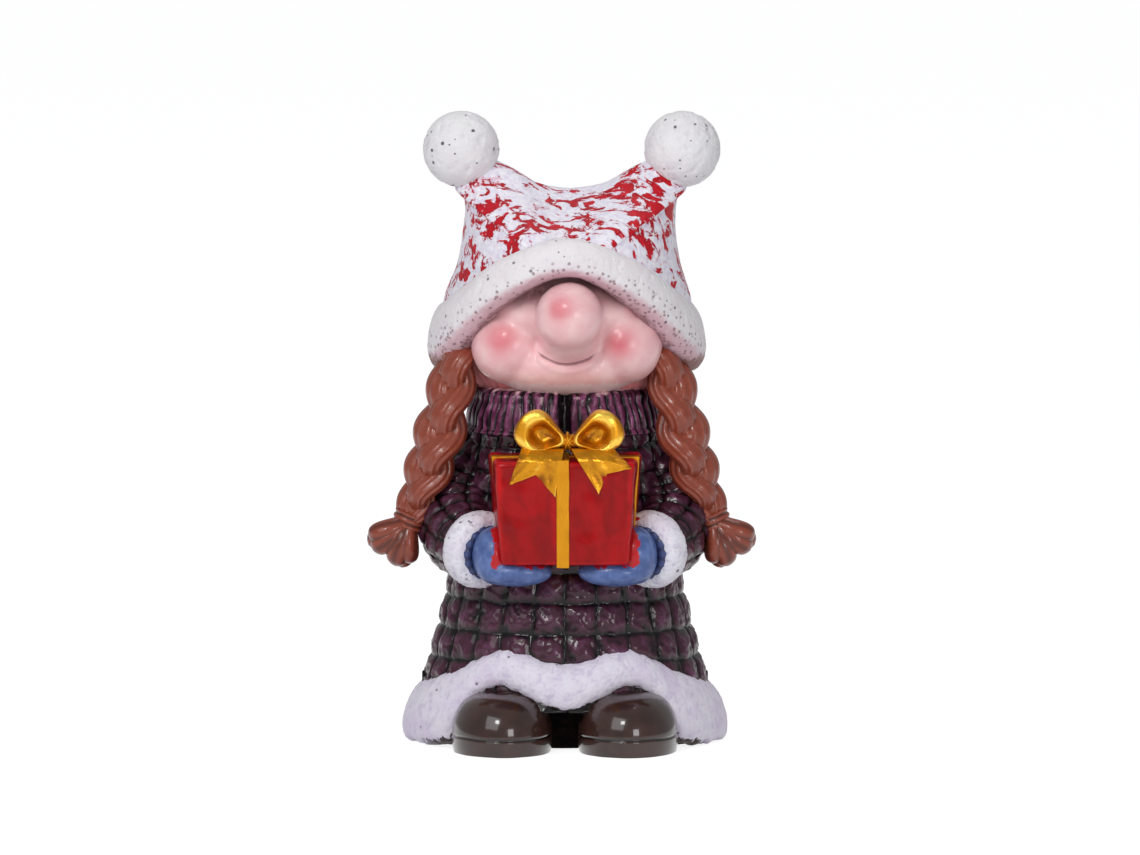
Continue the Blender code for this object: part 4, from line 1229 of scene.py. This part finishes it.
CORNERS = [((-7.2, 96.6), (-6.8, 92.2)), ((8.8, 95.4), (7.6, 91.0))]
CORNER_DEPTH = 0.22 * MM


def crease(away, width):
    """How deep a soft cut is, from 1 on its line to almost 0 beyond its width."""
    return math.exp(-(away / width) ** 2)


def off_segment(spot, start, end):
    """How far a point of the front is from a straight cut, in metres."""
    start, end = Vector(start) * MM, Vector(end) * MM
    along = end - start
    share = min(1, max(0, (Vector((spot.x, spot.z)) - start).dot(along) / along.length_squared))
    return (Vector((spot.x, spot.z)) - start - along * share).length


def face_tool(spot):
    push, dark = 0.0, 0.0
    if spot.y < -12 * MM:
        smile_z = between(spot.x, SMILE)
        within = min(1, max(0, (SMILE_HALF_WIDTH - abs(spot.x - 0.3 * MM)) / (1.8 * MM)))
        cut = crease(spot.z - smile_z, 0.34 * MM) * within
        lower_lip = crease(spot.z - smile_z + 1.6 * MM, 0.9 * MM) * within
        corner = max(crease(off_segment(spot, *ends), 0.55 * MM) for ends in CORNERS)
        push = LIP_SWELL * lower_lip - SMILE_DEPTH * cut - CORNER_DEPTH * corner
        # The smile's cut and corners are marked low, for painted shade in the skin paint.
        dark = max(cut, 0.22 * corner)
    return push + 0.05 * MM * hills(spot, 3 * MM, 17), 1 - dark, 0


CHIN = HEAD_MIDDLE + Vector((0, CHIN_SIZE.y - HEAD_SIZE.y - CHIN_PROUD, -CHIN_DROP))
clay_balls = [
    egg(HEAD_MIDDLE, HEAD_SIZE), egg(NOSE, NOSE_SIZE), egg(LIP, LIP_SIZE),
    egg(HEAD_MIDDLE + BROW_PLACE, BROW_SIZE), egg(CHIN, CHIN_SIZE),
]
cheeks = {}
for side in (-1, 1):
    place = Vector((side * CHEEK_SPACING / 2, 0.3 * CHEEK_RADIUS - HEAD_SIZE.y * 0.8, -CHEEK_DROP))
    cheeks[side] = HEAD_MIDDLE + place
    clay_balls.append(egg(cheeks[side], Vector((1, 1, 1)) * CHEEK_RADIUS))
face = melted(clay_balls, 0.36 * MM, 34)
sculpt(face, face_tool)

# %% [markdown]
# ## Skin paint
# The skin is a satin pink, rubbed with red on both cheeks and on one side of the nose. Beside the
# nose, under the brim, the shade is dark and full of pores, and at the collar some white of the
# base coat is left.

# %% Paint the face
skin_paint = PaintPot("skin_pink_paint", 0.36, coat=0.25, mirror=0.4)
mottle = skin_paint.noise(5 * MM, 4)
skin_base = skin_paint.mix(skin_paint.step(mottle, 0.3, 0.75), screen(240, 186, 190), screen(248, 208, 208))
warm_chin = skin_paint.step(skin_paint.axis("Z"), 93 * MM, 85 * MM)
skin_base = skin_paint.mix(warm_chin * 0.4, skin_base, screen(238, 172, 150))
rubs = []
for ball, offset, reach in (
    (cheeks[-1], (-1.8, -8.4, 2.6), 6.6), (cheeks[1], (-1.4, -8.8, 1.4), 6.2), (NOSE, (-2.4, -7.4, 2.6), 5.0),
):
    rubs.append(skin_paint.near(ball + Vector(offset) * MM, 0.2 * MM, reach * MM))
blush = rubs[0].most(rubs[1]).most(rubs[2])
rosy = skin_paint.mix(blush * (0.62 + 0.35 * mottle), skin_base, screen(214, 84, 100))
# Painted shade in the smile's cut and its corners.
smile_crease_shade = skin_paint.step(skin_paint.raised, 0.85, 0.2)
rosy = skin_paint.mix(smile_crease_shade * 0.75, rosy, screen(126, 70, 80))
pores = skin_paint.pinholes(1.1 * MM, 0.6, 0.4)
high_on_face = skin_paint.step(skin_paint.axis("Z") + 2.5 * MM * (mottle - 0.5), 103.5 * MM, 107.5 * MM)
behind_nose = skin_paint.step(skin_paint.axis("Y"), -28.5 * MM, -26 * MM)
under_brim = high_on_face * behind_nose * skin_paint.step(mottle + 0.5 * pores, 0.2, 0.5)
rosy = skin_paint.mix(under_brim * 0.75, rosy, screen(144, 94, 98))
scraps = skin_paint.noise(1.6 * MM, 4, 0.65)
chin_rim = skin_paint.step(skin_paint.axis("Z") + 4 * MM * (scraps - 0.5), 87.4 * MM, 86.6 * MM)
rosy = skin_paint.mix(chin_rim * 0.8, rosy, screen(244, 216, 214))
skin_paint.colour(rosy)
skin_paint.bump(skin_paint.noise(1.6 * MM, 4) - pores * high_on_face, 0.06 * MM)
finish_piece("face", face, skin_paint)

# %% [markdown]
# ## Hair behind the face
# Brown hair fills the hat beside and behind the head. Only its lower edge shows, so one egg with
# fine upright strands is enough.

# %% Shape the hair
HAIR_SIZE = Vector((26.5, 23.0, 18.5)) * MM
HAIR_MIDDLE = HEAD_MIDDLE + Vector((0, 4, -2)) * MM
HAIR_STRANDS = 34
STRAND_RELIEF = 0.012


def hair_place(u, v):
    turn, swing = TURN * u, math.pi * v
    strand = abs(math.sin(HAIR_STRANDS * turn + 1.2 * math.sin(4 * swing)))
    flat = math.sin(swing)
    way = on_ring(turn, HAIR_SIZE.x * flat, HAIR_SIZE.y * flat, -HAIR_SIZE.z * math.cos(swing))
    return HAIR_MIDDLE + way * (1 + STRAND_RELIEF * strand), strand, 0


print(f"The hair is {2 * HAIR_SIZE.x / MM:.0f} mm wide")

# %% [markdown]
# ## Chestnut paint
# The hair is a warm glossy chestnut, with painted shade in the grooves and painted highlights of a
# lighter brown on the ridges. Behind the cheeks the hair is dull, and pink from the face has run
# onto it.

# %% Paint the hair
hair_paint = PaintPot("hair_brown_paint", 0.32, coat=0.4, mirror=0.25)
hair_cloud = hair_paint.noise(2.0 * MM, 4)
# Painted shade in the grooves and painted highlights on the ridges.
hair_low = hair_paint.relief_shaded(screen(50, 20, 14), screen(140, 66, 48), 0.1, 0.75)
hair_highlight = hair_paint.step(hair_paint.raised * 0.7 + hair_cloud * 0.6, 0.86, 1.15)
hair_paint.colour(hair_paint.mix(hair_highlight * 0.7, hair_low, screen(176, 98, 78)))
hair_paint.bump(hair_paint.noise(0.9 * MM, 4), 0.12 * MM)

under_paint = PaintPot("hair_under_paint", 0.7, mirror=0.08)
# Painted shade between the strands of the hair behind the face.
under_hair = under_paint.mix(under_paint.raised, screen(70, 32, 20), screen(128, 64, 42))
ragged_line = under_paint.axis("Y") + 5 * MM * (under_paint.noise(2.4 * MM, 4) - 0.5)
pink_run = under_paint.step(ragged_line, -3 * MM, -5 * MM)
under_paint.colour(under_paint.mix(pink_run, under_hair, screen(226, 140, 140)))
under_paint.bump(under_paint.noise(1.2 * MM, 4), 0.12 * MM)
finish_piece("hair", rolled_grid(340, 60, hair_place), under_paint)

# %% [markdown]
# ## The braids
# A braid is three thick strands that cross over each other in turn. Each strand swings from side
# to side while it goes over and under, and the three are a third of a turn apart. Real strands
# give the herringbone look from every side, which a carved tube would not. The braid is turned
# outwards, because it was laid flat against the side of the head.

# %% Shape the braids
BRAID_SHIFT = -0.8 * MM
BRAID_TOP = Vector((23.6, -10.5, 96.5)) * MM
BRAID_BEND = Vector((29.4, -14.0, 72.6)) * MM
BRAID_TIE = Vector((36.2, -12.8, 53.4)) * MM
BRAID_CROSSINGS = 1.5
BRAID_WIDTHS = [(0, 4.5 * MM), (0.25, 5.1 * MM), (0.5, 5.5 * MM), (0.7, 4.9 * MM), (1, 3.2 * MM)]
BRAID_TURN = math.radians(50)
STRAND_SWING = 0.47
STRAND_LIFT = 0.34
STRAND_SIZE = 0.73
STRAND_FLATNESS = 0.72
HAIR_LINES = 11
HAIR_LINE_DEPTH = 0.36 * MM


def shifted(spot, side):
    """A point on its own side. Both braids hang a little to the left."""
    return sided(spot, side) + Vector((BRAID_SHIFT, 0, 0))


def braid_line(share):
    """A point on the braid's middle line."""
    axes = zip(BRAID_TOP, BRAID_BEND, BRAID_TIE)
    return Vector([between(share, [(0, top), (0.5, bend), (1, tie)]) for top, bend, tie in axes])


def braid_axes(way):
    """The braid's width and its thickness as directions, turned outwards about its line."""
    forward = (Vector((0, -1, 0)) + way * way.y).normalized()
    outward = forward.cross(way)
    if outward.x < 0:
        outward = -outward
    width = outward * math.cos(BRAID_TURN) - forward * math.sin(BRAID_TURN)
    return width, forward * math.cos(BRAID_TURN) + outward * math.sin(BRAID_TURN)


def line_way(line, share, step=0.01):
    """The direction of a line at a share of its length."""
    return (line(min(share + step, 1)) - line(max(share - step, 0))).normalized()


def strand_line(share, phase):
    """A point on the middle line of one strand, for +X."""
    width, thick = braid_axes(line_way(braid_line, share))
    half = between(share, BRAID_WIDTHS)
    swing = TURN * BRAID_CROSSINGS * share + phase
    sideways = width * half * STRAND_SWING * math.sin(swing)
    return braid_line(share) + sideways - thick * half * STRAND_LIFT * math.sin(2 * swing)


def strand_at(side, phase):
    """One strand of a braid. The phase says where in its swing it starts."""
    def line(share):
        return strand_line(share, phase)

    def place(u, v):
        centre, way = line(v), line_way(line, v, 0.008)
        width, thick = braid_axes(way)
        half = between(v, BRAID_WIDTHS)
        turn = TURN * u
        hair_line = 0.5 + 0.5 * math.cos(HAIR_LINES * turn + 1.5 * math.sin(9 * v + phase))
        ends = min(1, 12 * v, 14 * (1 - v) + 0.3) ** 0.5
        radius = (half * STRAND_SIZE + HAIR_LINE_DEPTH * hair_line) * ends
        # Outer strands and hair lines are marked higher, so the hair paint puts painted shade where strands
        # meet.
        outer = min(1, (centre - braid_line(v)).dot(thick) / (half * 0.4) + 1)
        spot = centre + thick * radius * STRAND_FLATNESS * math.cos(turn) + width * radius * math.sin(turn)
        return shifted(spot, side), 0.3 + 0.35 * outer + 0.3 * hair_line, 0

    return rolled_grid(50, 170, place)


def braid_shape(side):
    return merge([strand_at(side, TURN * k / 3) for k in range(3)])


finish_pair("braid", braid_shape, hair_paint)

# %% [markdown]
# ## The tufts
# Below its tie each braid ends in a splayed tuft. It is a fan of fat locks, each a small tube that
# starts at the tie, swells, and ends in a blunt tip, some in front and some behind. The tie is a
# cord wound round the braid three times.

# %% Shape the tufts
TUFT_LOCKS = 5
TUFT_LENGTH = 10.8 * MM
LOCK_RADIUS = 2.7 * MM
LOCK_FLUTES = 5
FLUTE_DEPTH = 0.14 * MM
FIRST_LOCK_ANGLE = 22
LOCK_FAN = 68
LOCK_WIDTHS = [(0, 0.6), (0.3, 0.92), (0.65, 1.05), (0.86, 0.85), (0.96, 0.45), (1, 0)]
TIE_WRAPS = 3
TIE_HEIGHT = 4.4 * MM
TIE_RADIUS = 3.6 * MM


def lock_at(side, number, layer):
    """One lock of the fan. Layer 0 is in front, and layer 1 fills the gaps behind it."""
    spread = (number + 0.5 * layer) / (TUFT_LOCKS - 1)
    angle = math.radians(FIRST_LOCK_ANGLE + LOCK_FAN * spread)
    way = Vector((math.cos(angle), 0, -math.sin(angle)))
    hang = Vector((0.16, 0, -0.10)) * TUFT_LENGTH
    length = TUFT_LENGTH * (0.95 + 0.1 * math.sin(2.4 * number + layer))

    def place(u, v):
        centre = BRAID_TIE + way * length * v + hang * v * (1 - v)
        centre.y += (layer - 0.6) * 3.0 * MM * math.sin(math.pi * min(1, 0.25 + v * 0.6))
        turn = TURN * u
        across = way.cross(Vector((0, -1, 0)))
        radius = LOCK_RADIUS * between(v, LOCK_WIDTHS)
        groove = 0.5 + 0.5 * math.cos(LOCK_FLUTES * turn + 2 * v + number)
        radius += FLUTE_DEPTH * groove * (1 - v)
        spot = centre + across * radius * math.sin(turn) + Vector((0, -1, 0)) * radius * 1.1 * math.cos(turn)
        return shifted(spot, side), 0.35 + 0.45 * groove, 0

    return rolled_grid(36, 30, place)


def tie_at(side):
    way = (BRAID_TIE - BRAID_BEND).normalized()
    width, thick = braid_axes(way)

    def place(u, v):
        turn = TURN * u
        wrap = abs(math.sin(math.pi * (TIE_WRAPS * v + 0.12 * math.sin(turn))))
        closing = min(1, 8 * v, 8 * (1 - v)) ** 0.5
        radius = (TIE_RADIUS + 0.4 * MM * wrap) * closing
        ring = (width * math.cos(turn) + thick * math.sin(turn)) * radius
        return shifted(BRAID_TIE + ring + way * TIE_HEIGHT * (v - 0.6), side), 0.2 + 0.6 * wrap, 0

    return rolled_grid(60, 40, place)


def tuft_shape(side):
    locks = [lock_at(side, k, layer) for layer in (0, 1) for k in range(TUFT_LOCKS - layer)]
    return merge([*locks, tie_at(side)])


finish_pair("tuft", tuft_shape, hair_paint)

# %% [markdown]
# ## The hat's brim
# The brim is a band of fur like the hem. It is high over the nose and low at the sides and the
# back, and it flares out downwards. Its section is a rounded band again, which leans in towards
# the top and rolls under at the bottom.

# %% Shape the brim
BRIM_HALF_WIDTH = 34.4 * MM
BRIM_HALF_DEPTH = 31.4 * MM
BRIM_THICKNESS = 7.4 * MM
BRIM_FLARE = 3.0 * MM
BRIM_ROLL = 1.8 * MM
BRIM_LOWER = [(0, 16.2 * MM), (30, 9.0 * MM), (60, -3.4 * MM), (85, -8.4 * MM), (180, -8.0 * MM)]
BRIM_UPPER = [(0, 25.4 * MM), (30, 20.8 * MM), (60, 12.6 * MM), (85, 8.4 * MM), (180, 8.0 * MM)]


def brim_place(u, v):
    turn, section = TURN * u, TURN * v
    low, high = between_sides(turn, BRIM_LOWER), between_sides(turn, BRIM_UPPER)
    swing = math.sin(section)
    rise = (low + high) / 2 + (high - low) / 2 * fuller(swing)
    out = BRIM_THICKNESS / 2 * (fuller(math.cos(section)) - 1) - BRIM_FLARE * (1 + swing) / 2
    out -= BRIM_ROLL * max(0, -swing) ** 2
    spot = HEAD_MIDDLE + on_ring(turn, BRIM_HALF_WIDTH + out, BRIM_HALF_DEPTH + out, rise)
    dimples = 1.2 * max(0, hills(spot, 1.5 * MM, 20) - 0.12)
    soft = hills(spot, 4 * MM, 22)
    spot += on_ring(turn, 1, 1, 0) * MM * (0.14 * soft - 0.45 * dimples)
    spot.z += 0.3 * MM * soft * abs(swing) ** 3
    return spot, 0.75 + 0.15 * soft - 0.25 * dimples, (1 - swing) / 2


print(f"The brim is {2 * BRIM_HALF_WIDTH / MM:.1f} mm wide")

# %% [markdown]
# ## The brim's pores
# The white is smooth above, and the lower edge is full of pores: that edge was the bottom of a
# mould, where the bubbles gathered, and the pores are darkened with painted shade. Near the face it
# took on some pink, and under the arch there it gets a painted shadow. Brown from the hair has
# touched it beside the braids. Each of these is a mask, and the colours are laid one by one.

# %% Paint the brim
brim_paint = fur_paint(
    "brim_fur_paint", screen(236, 232, 234), screen(214, 206, 212), screen(232, 222, 228), 2.0 * MM, 0.12,
)
torn = brim_paint.noise(1.8 * MM, 4, 0.6) - 0.5
low_edge = brim_paint.step(brim_paint.edge + 0.2 * torn, 0.62, 0.84)
porous = brim_paint.step(brim_paint.edge + 0.6 * torn, 0.42, 0.62)
near_face = brim_paint.step(brim_paint.axis("Y"), 8 * MM, -8 * MM)
edge_pits = brim_paint.pinholes(1.2 * MM, 0.66, 0.42) * porous
few_pits = brim_paint.pinholes(1.5 * MM, 0.12, 0.2)
brim_white = brim_paint.mix(low_edge * near_face * 0.7, brim_paint.white, screen(206, 150, 164))
# Painted shadow in the gap under the brim's arch, beside the nose.
deep = brim_paint.step(brim_paint.edge + 0.2 * torn, 0.93, 1.02) * near_face
brim_white = brim_paint.mix(deep * 0.75, brim_white, screen(120, 84, 90))
# Painted shade inside the pores of the lower edge.
brim_white = brim_paint.mix(edge_pits * 0.7, brim_white, screen(128, 94, 102))
beside_braid = abs(brim_paint.axis("X")) - 27 * MM
low_down = brim_paint.step(brim_paint.axis("Z") + 5 * MM * torn, 93 * MM, 91 * MM)
touched = brim_paint.step(beside_braid, -2 * MM, 0) * low_down
touched *= brim_paint.step(brim_paint.axis("Y"), 12 * MM, 2 * MM)
brim_white = brim_paint.mix(touched * 0.8, brim_white, screen(116, 68, 50))
# Painted shade inside the scattered pinholes.
brim_paint.colour(brim_paint.mix(few_pits.most(brim_paint.pits) * 0.75, brim_white, screen(96, 78, 88)))
finish_piece("hat_brim", rolled_grid(620, 76, brim_place), brim_paint)

# %% [markdown]
# ## The hat's crown
# The crown is a soft cushion with two horns: its outline is drawn once in the front plane, and
# rings of that outline, shrunk towards its heart, are pushed forward and back like a pillow. The
# hat is fullest above the brim and thin along the top edge. Its front is tucked in behind the
# brim, so that it doesn't show below the brim's arch beside the nose.

# %% Shape the crown
HAT_LEAN = 1.2 * MM
CROWN_FOOT_HALF_WIDTH = 29.4 * MM
CROWN_MID_HALF_WIDTH = 26.4 * MM
CROWN_TOP_HALF_WIDTH = 24.8 * MM
CROWN_FOOT_HALF_DEPTH = 27.0 * MM
SADDLE_RISE = 35.2 * MM
HORN_SPACING = 52.4 * MM
HORN_RISE = 44.3 * MM
HORN_HALF_THICKNESS = 5.0 * MM
POMPOM_RADIUS = 9.2 * MM
CROWN_TUCK = 9.0 * MM


def crown_outline():
    """The hat's outline from the saddle round and back, as offsets from the head's middle."""
    horn = HORN_SPACING / 2
    neck = POMPOM_RADIUS * 0.56
    half = [
        (0, SADDLE_RISE),
        (horn * 0.3, SADDLE_RISE + 0.11 * (HORN_RISE - SADDLE_RISE)),
        (horn - 2 * neck, SADDLE_RISE + 0.62 * (HORN_RISE - SADDLE_RISE)),
        (horn - 0.3 * neck, HORN_RISE - 0.2 * neck),
        (horn + 0.24 * neck, SADDLE_RISE + 0.05 * neck),
        (CROWN_TOP_HALF_WIDTH + 0.1 * neck, SADDLE_RISE - 0.55 * neck),
        (CROWN_TOP_HALF_WIDTH + 0.2 * (CROWN_MID_HALF_WIDTH - CROWN_TOP_HALF_WIDTH), 0.75 * SADDLE_RISE),
        (CROWN_MID_HALF_WIDTH, 0.5 * SADDLE_RISE),
        (CROWN_FOOT_HALF_WIDTH, 0.18 * SADDLE_RISE),
        (CROWN_FOOT_HALF_WIDTH * 0.8, -0.05 * SADDLE_RISE),
        (0, -0.1 * SADDLE_RISE),
    ]
    return half + [(-x, z) for x, z in reversed(half[1:-1])] + [half[0]]


OUTLINE = crown_outline()
OUTLINE_X, OUTLINE_Z = ([(k, point[axis]) for k, point in enumerate(OUTLINE)] for axis in (0, 1))
CROWN_DEPTHS = [
    (0, CROWN_FOOT_HALF_DEPTH), (0.4 * SADDLE_RISE, CROWN_FOOT_HALF_DEPTH * 0.97),
    (0.72 * SADDLE_RISE, CROWN_FOOT_HALF_DEPTH * 0.86), (SADDLE_RISE, CROWN_FOOT_HALF_DEPTH * 0.42),
    (HORN_RISE, HORN_HALF_THICKNESS),
]


def hat_lean(rise):
    """How far the hat stands to the right at a height over the head's middle."""
    return HAT_LEAN * rise / HORN_RISE


def behind_brim(across, forward, rise):
    """0 above the brim and 1 at its lower edge, in front only."""
    if forward <= 0:
        return 0
    turn = math.atan2(across, forward)
    low, high = between_sides(turn, BRIM_LOWER), between_sides(turn, BRIM_UPPER)
    return min(1, max(0, (high - rise) / (high - low)))


def crown_place(u, v):
    where = u * (len(OUTLINE) - 1)
    swing = math.pi * v
    share = math.sin(swing)
    heart = 0.45 * SADDLE_RISE
    rise = heart + share * (between(where, OUTLINE_Z) - heart)
    depth = between(rise, CROWN_DEPTHS)
    x = share * between(where, OUTLINE_X)
    depth -= CROWN_TUCK * behind_brim(x, depth * math.cos(swing), rise)
    return HEAD_MIDDLE + Vector((x + hat_lean(rise), -depth * math.cos(swing), rise)), 0.5, 0


def crown_tool(spot):
    """Soft dents, and the dabs that a thick brush leaves."""
    dents = hills(spot, 11 * MM, 18)
    dabs = hills(Vector((spot.x * 0.5, spot.y * 0.5, spot.z)), 1.5 * MM, 19)
    return 0.35 * MM * dents + 0.09 * MM * dabs, 0.5 + 0.5 * dabs, 0


crown = rolled_grid(300, 150, crown_place)
sculpt(crown, crown_tool)
print(f"The crown has {len(crown.faces)} faces")

# %% [markdown]
# ## White scraped over red
# The hat was red first. Then almost dry white was dragged over it, mostly sideways, so the red
# is left in ragged flecks, more of them round the horns. Two stretched noises, one level and one
# slanting, cut by a hard threshold, give flecks of that kind.

# %% Paint the crown
hat_paint = PaintPot("hat_red_paint", 0.46, mirror=0.25)
level_marks = hat_paint.noise(3.4 * MM, 5, 0.6, hat_paint.stretched(8, 2.2), 0.8)
slant_marks = hat_paint.noise(3.2 * MM, 5, 0.6, hat_paint.stretched(48, 2.4), 0.7)
patches = hat_paint.noise(13 * MM, 2)
horn_spot = HEAD_MIDDLE + Vector((HORN_SPACING / 2 - 6 * MM, -7 * MM, HORN_RISE - 8 * MM))
by_horn = hat_paint.near(horn_spot, 1 * MM, 14 * MM)
by_other_horn = hat_paint.near(horn_spot - Vector((HORN_SPACING - 10 * MM, 0, 1 * MM)), 1 * MM, 11 * MM)
small = hat_paint.noise(1.1 * MM, 3, 0.6)
amount = 0.16 * (patches - 0.5) + 0.1 * (small - 0.5) + 0.045 * by_horn + 0.035 * by_other_horn
marks = level_marks.most(slant_marks) + amount
flecks = hat_paint.step(marks, 0.572, 0.59)
hat_white = hat_paint.mottled(screen(222, 216, 234), screen(242, 240, 246), 1.3 * MM, 5, 0.32, 0.66, 0.65)
hat_red = hat_paint.mottled(screen(168, 8, 24), screen(208, 26, 44), 2 * MM, 3)
hat_red = hat_paint.mix(hat_paint.step(marks, 0.63, 0.68), hat_red, screen(190, 14, 32))
haze = hat_paint.step(marks + 0.06 * hat_paint.noise(1.2 * MM, 4, 0.7), 0.56, 0.62)
pinkish = hat_paint.mix(haze * 0.45, hat_white, screen(226, 130, 152))
hat_paint.colour(hat_paint.mix(flecks, pinkish, hat_red))
dabs = hat_paint.noise(0.9 * MM, 5, 0.6, hat_paint.stretched(12, 1.8))
hat_paint.bump(dabs - 0.8 * flecks, 0.16 * MM)
finish_piece("hat_crown", crown, hat_paint)

# %% [markdown]
# ## The pompoms
# A ball of fur sits on each horn. They are the one place where the pinholes are large, and painted
# shade makes them dark against the white.

# %% Shape the pompoms
pompom_paint = fur_paint(
    "pompom_fur_paint", screen(234, 232, 234), screen(204, 200, 208), screen(226, 222, 228), 2.4 * MM, 0.16,
)
small_pits = pompom_paint.pinholes(1.3 * MM, 0.1, 0.24)
all_pits = small_pits.most(pompom_paint.pits)
pompom_paint.colour(pompom_paint.mix(all_pits * 0.9, pompom_paint.white, PINHOLE_SHADE))


def dent_tool(spot):
    """Soft round dents, as in felt."""
    dents = max(0, hills(spot, 2.2 * MM, 23) - 0.05)
    grain = pucker(spot, 1.4 * MM, 25)
    return 0.05 * MM * grain - 0.5 * MM * dents, 0.8 + 0.06 * grain - 0.5 * dents, 0


def pompom_shape(side):
    centre = HEAD_MIDDLE + Vector((side * HORN_SPACING / 2 + hat_lean(HORN_RISE), 0, HORN_RISE))

    def place(u, v):
        swing = math.pi * v
        way = on_ring(TURN * u, math.sin(swing), math.sin(swing), -math.cos(swing))
        return centre + way * (POMPOM_RADIUS - 0.15 * MM), 0.5, 0

    pompom = rolled_grid(180, 100, place)
    sculpt(pompom, dent_tool)
    return pompom


finish_pair("pompom", pompom_shape, pompom_paint)

# %% [markdown]
# ## The floor
# The photograph has a plain white ground. The floor is white for the camera and for reflections,
# and part of it is lit by the lamps, so that the statue's soft shadow still shows on it.

# %% Lay the floor
FLOOR_SIZE = 40.0
FLOOR_GLOW = 0.86


def seen_directly(tree):
    """1 for rays from the camera, a reflection or a see-through surface."""
    rays = ("Is Camera Ray", "Is Glossy Ray", "Is Transmission Ray")
    straight, mirrored, through = (add_node(tree, "ShaderNodeLightPath", {}, {}, ray) for ray in rays)
    return straight.most(mirrored).most(through)


floor_skin = bmesh.new()
bmesh.ops.create_grid(floor_skin, x_segments=1, y_segments=1, size=FLOOR_SIZE / 2)
floor_mesh = bpy.data.meshes.new("floor")
floor_skin.to_mesh(floor_mesh)
floor_skin.free()
floor = bpy.data.objects.new("floor", floor_mesh)
bpy.context.scene.collection.objects.link(floor)
floor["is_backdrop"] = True
ground = bpy.data.materials.new("pale_floor")
ground.use_nodes = True
ground.node_tree.nodes.clear()
tree = ground.node_tree
lit = add_node(tree, "ShaderNodeBsdfDiffuse", {}, {"Color": (0.82, 0.82, 0.84, 1)})
soft = add_node(tree, "ShaderNodeBsdfDiffuse", {}, {"Color": (0.34, 0.34, 0.35, 1)})
glow = add_node(tree, "ShaderNodeEmission", {}, {"Color": (1, 1, 1, 1), "Strength": FLOOR_GLOW})
shown = add_node(tree, "ShaderNodeAddShader", {}, {0: soft, 1: glow})
split = add_node(tree, "ShaderNodeMixShader", {}, {0: seen_directly(tree), 1: lit, 2: shown})
surface = tree.nodes.new("ShaderNodeOutputMaterial")
tree.links.new(split.socket, surface.inputs["Surface"])
floor_mesh.materials.append(ground)
print(f"The floor is {FLOOR_SIZE:.0f} m wide")

# %% [markdown]
# ## Soft studio light
# A large soft lamp stands at the upper left, a weaker one in front at the right and one above, and
# the pale room fills the rest. A small lamp adds the sharp glints that gloss paint has on every
# crease. Together they light a white surface to just under white. The room is kept dim, because
# dark gloss paint mirrors it as a grey veil.

# %% Hang the lamps
ROOM_LIGHT = 0.38
LAMPS_AIM = Vector((0, 0, 0.08))
LAMPS = [
    ("key_lamp", Vector((-0.5, -0.8, 0.7)), 0.7, 3.5),
    ("glint_lamp", Vector((-0.3, -0.95, 0.85)), 0.22, 2.5),
    ("fill_lamp", Vector((0.45, -1.0, 0.25)), 0.3, 1.9),
    ("top_lamp", Vector((0.1, 0.25, 0.95)), 0.4, 1.2),
]
for name, place, size, power in LAMPS:
    lamp_data = bpy.data.lights.new(name, "AREA")
    lamp_data.energy = power
    lamp_data.size = size
    lamp = bpy.data.objects.new(name, lamp_data)
    lamp.location = place
    lamp.rotation_euler = (LAMPS_AIM - place).to_track_quat("-Z", "Y").to_euler()
    bpy.context.scene.collection.objects.link(lamp)

room = bpy.data.worlds.new("white_room")
room.use_nodes = True
background = room.node_tree.nodes["Background"]
background.inputs["Color"].default_value = (0.97, 0.98, 1, 1)
background.inputs["Strength"].default_value = ROOM_LIGHT
bpy.context.scene.world = room
print(f"{len(LAMPS)} lamps and a plain pale room")

# %% [markdown]
# ## Check the size and finish
# The painted pieces keep to the casting's box, apart from about a millimetre at the back. Both
# boxes are written down, so that this can be checked.

# %% Write the sizes and finish
visual_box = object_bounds()
for k, letter in enumerate("XYZ"):
    grown = [(visual_box[end][k] - cad_box[end][k]) / MM for end in (0, 1)]
    print(f"{letter}: the painted pieces end {grown[0]:+.2f} and {grown[1]:+.2f} mm from the casting's box")
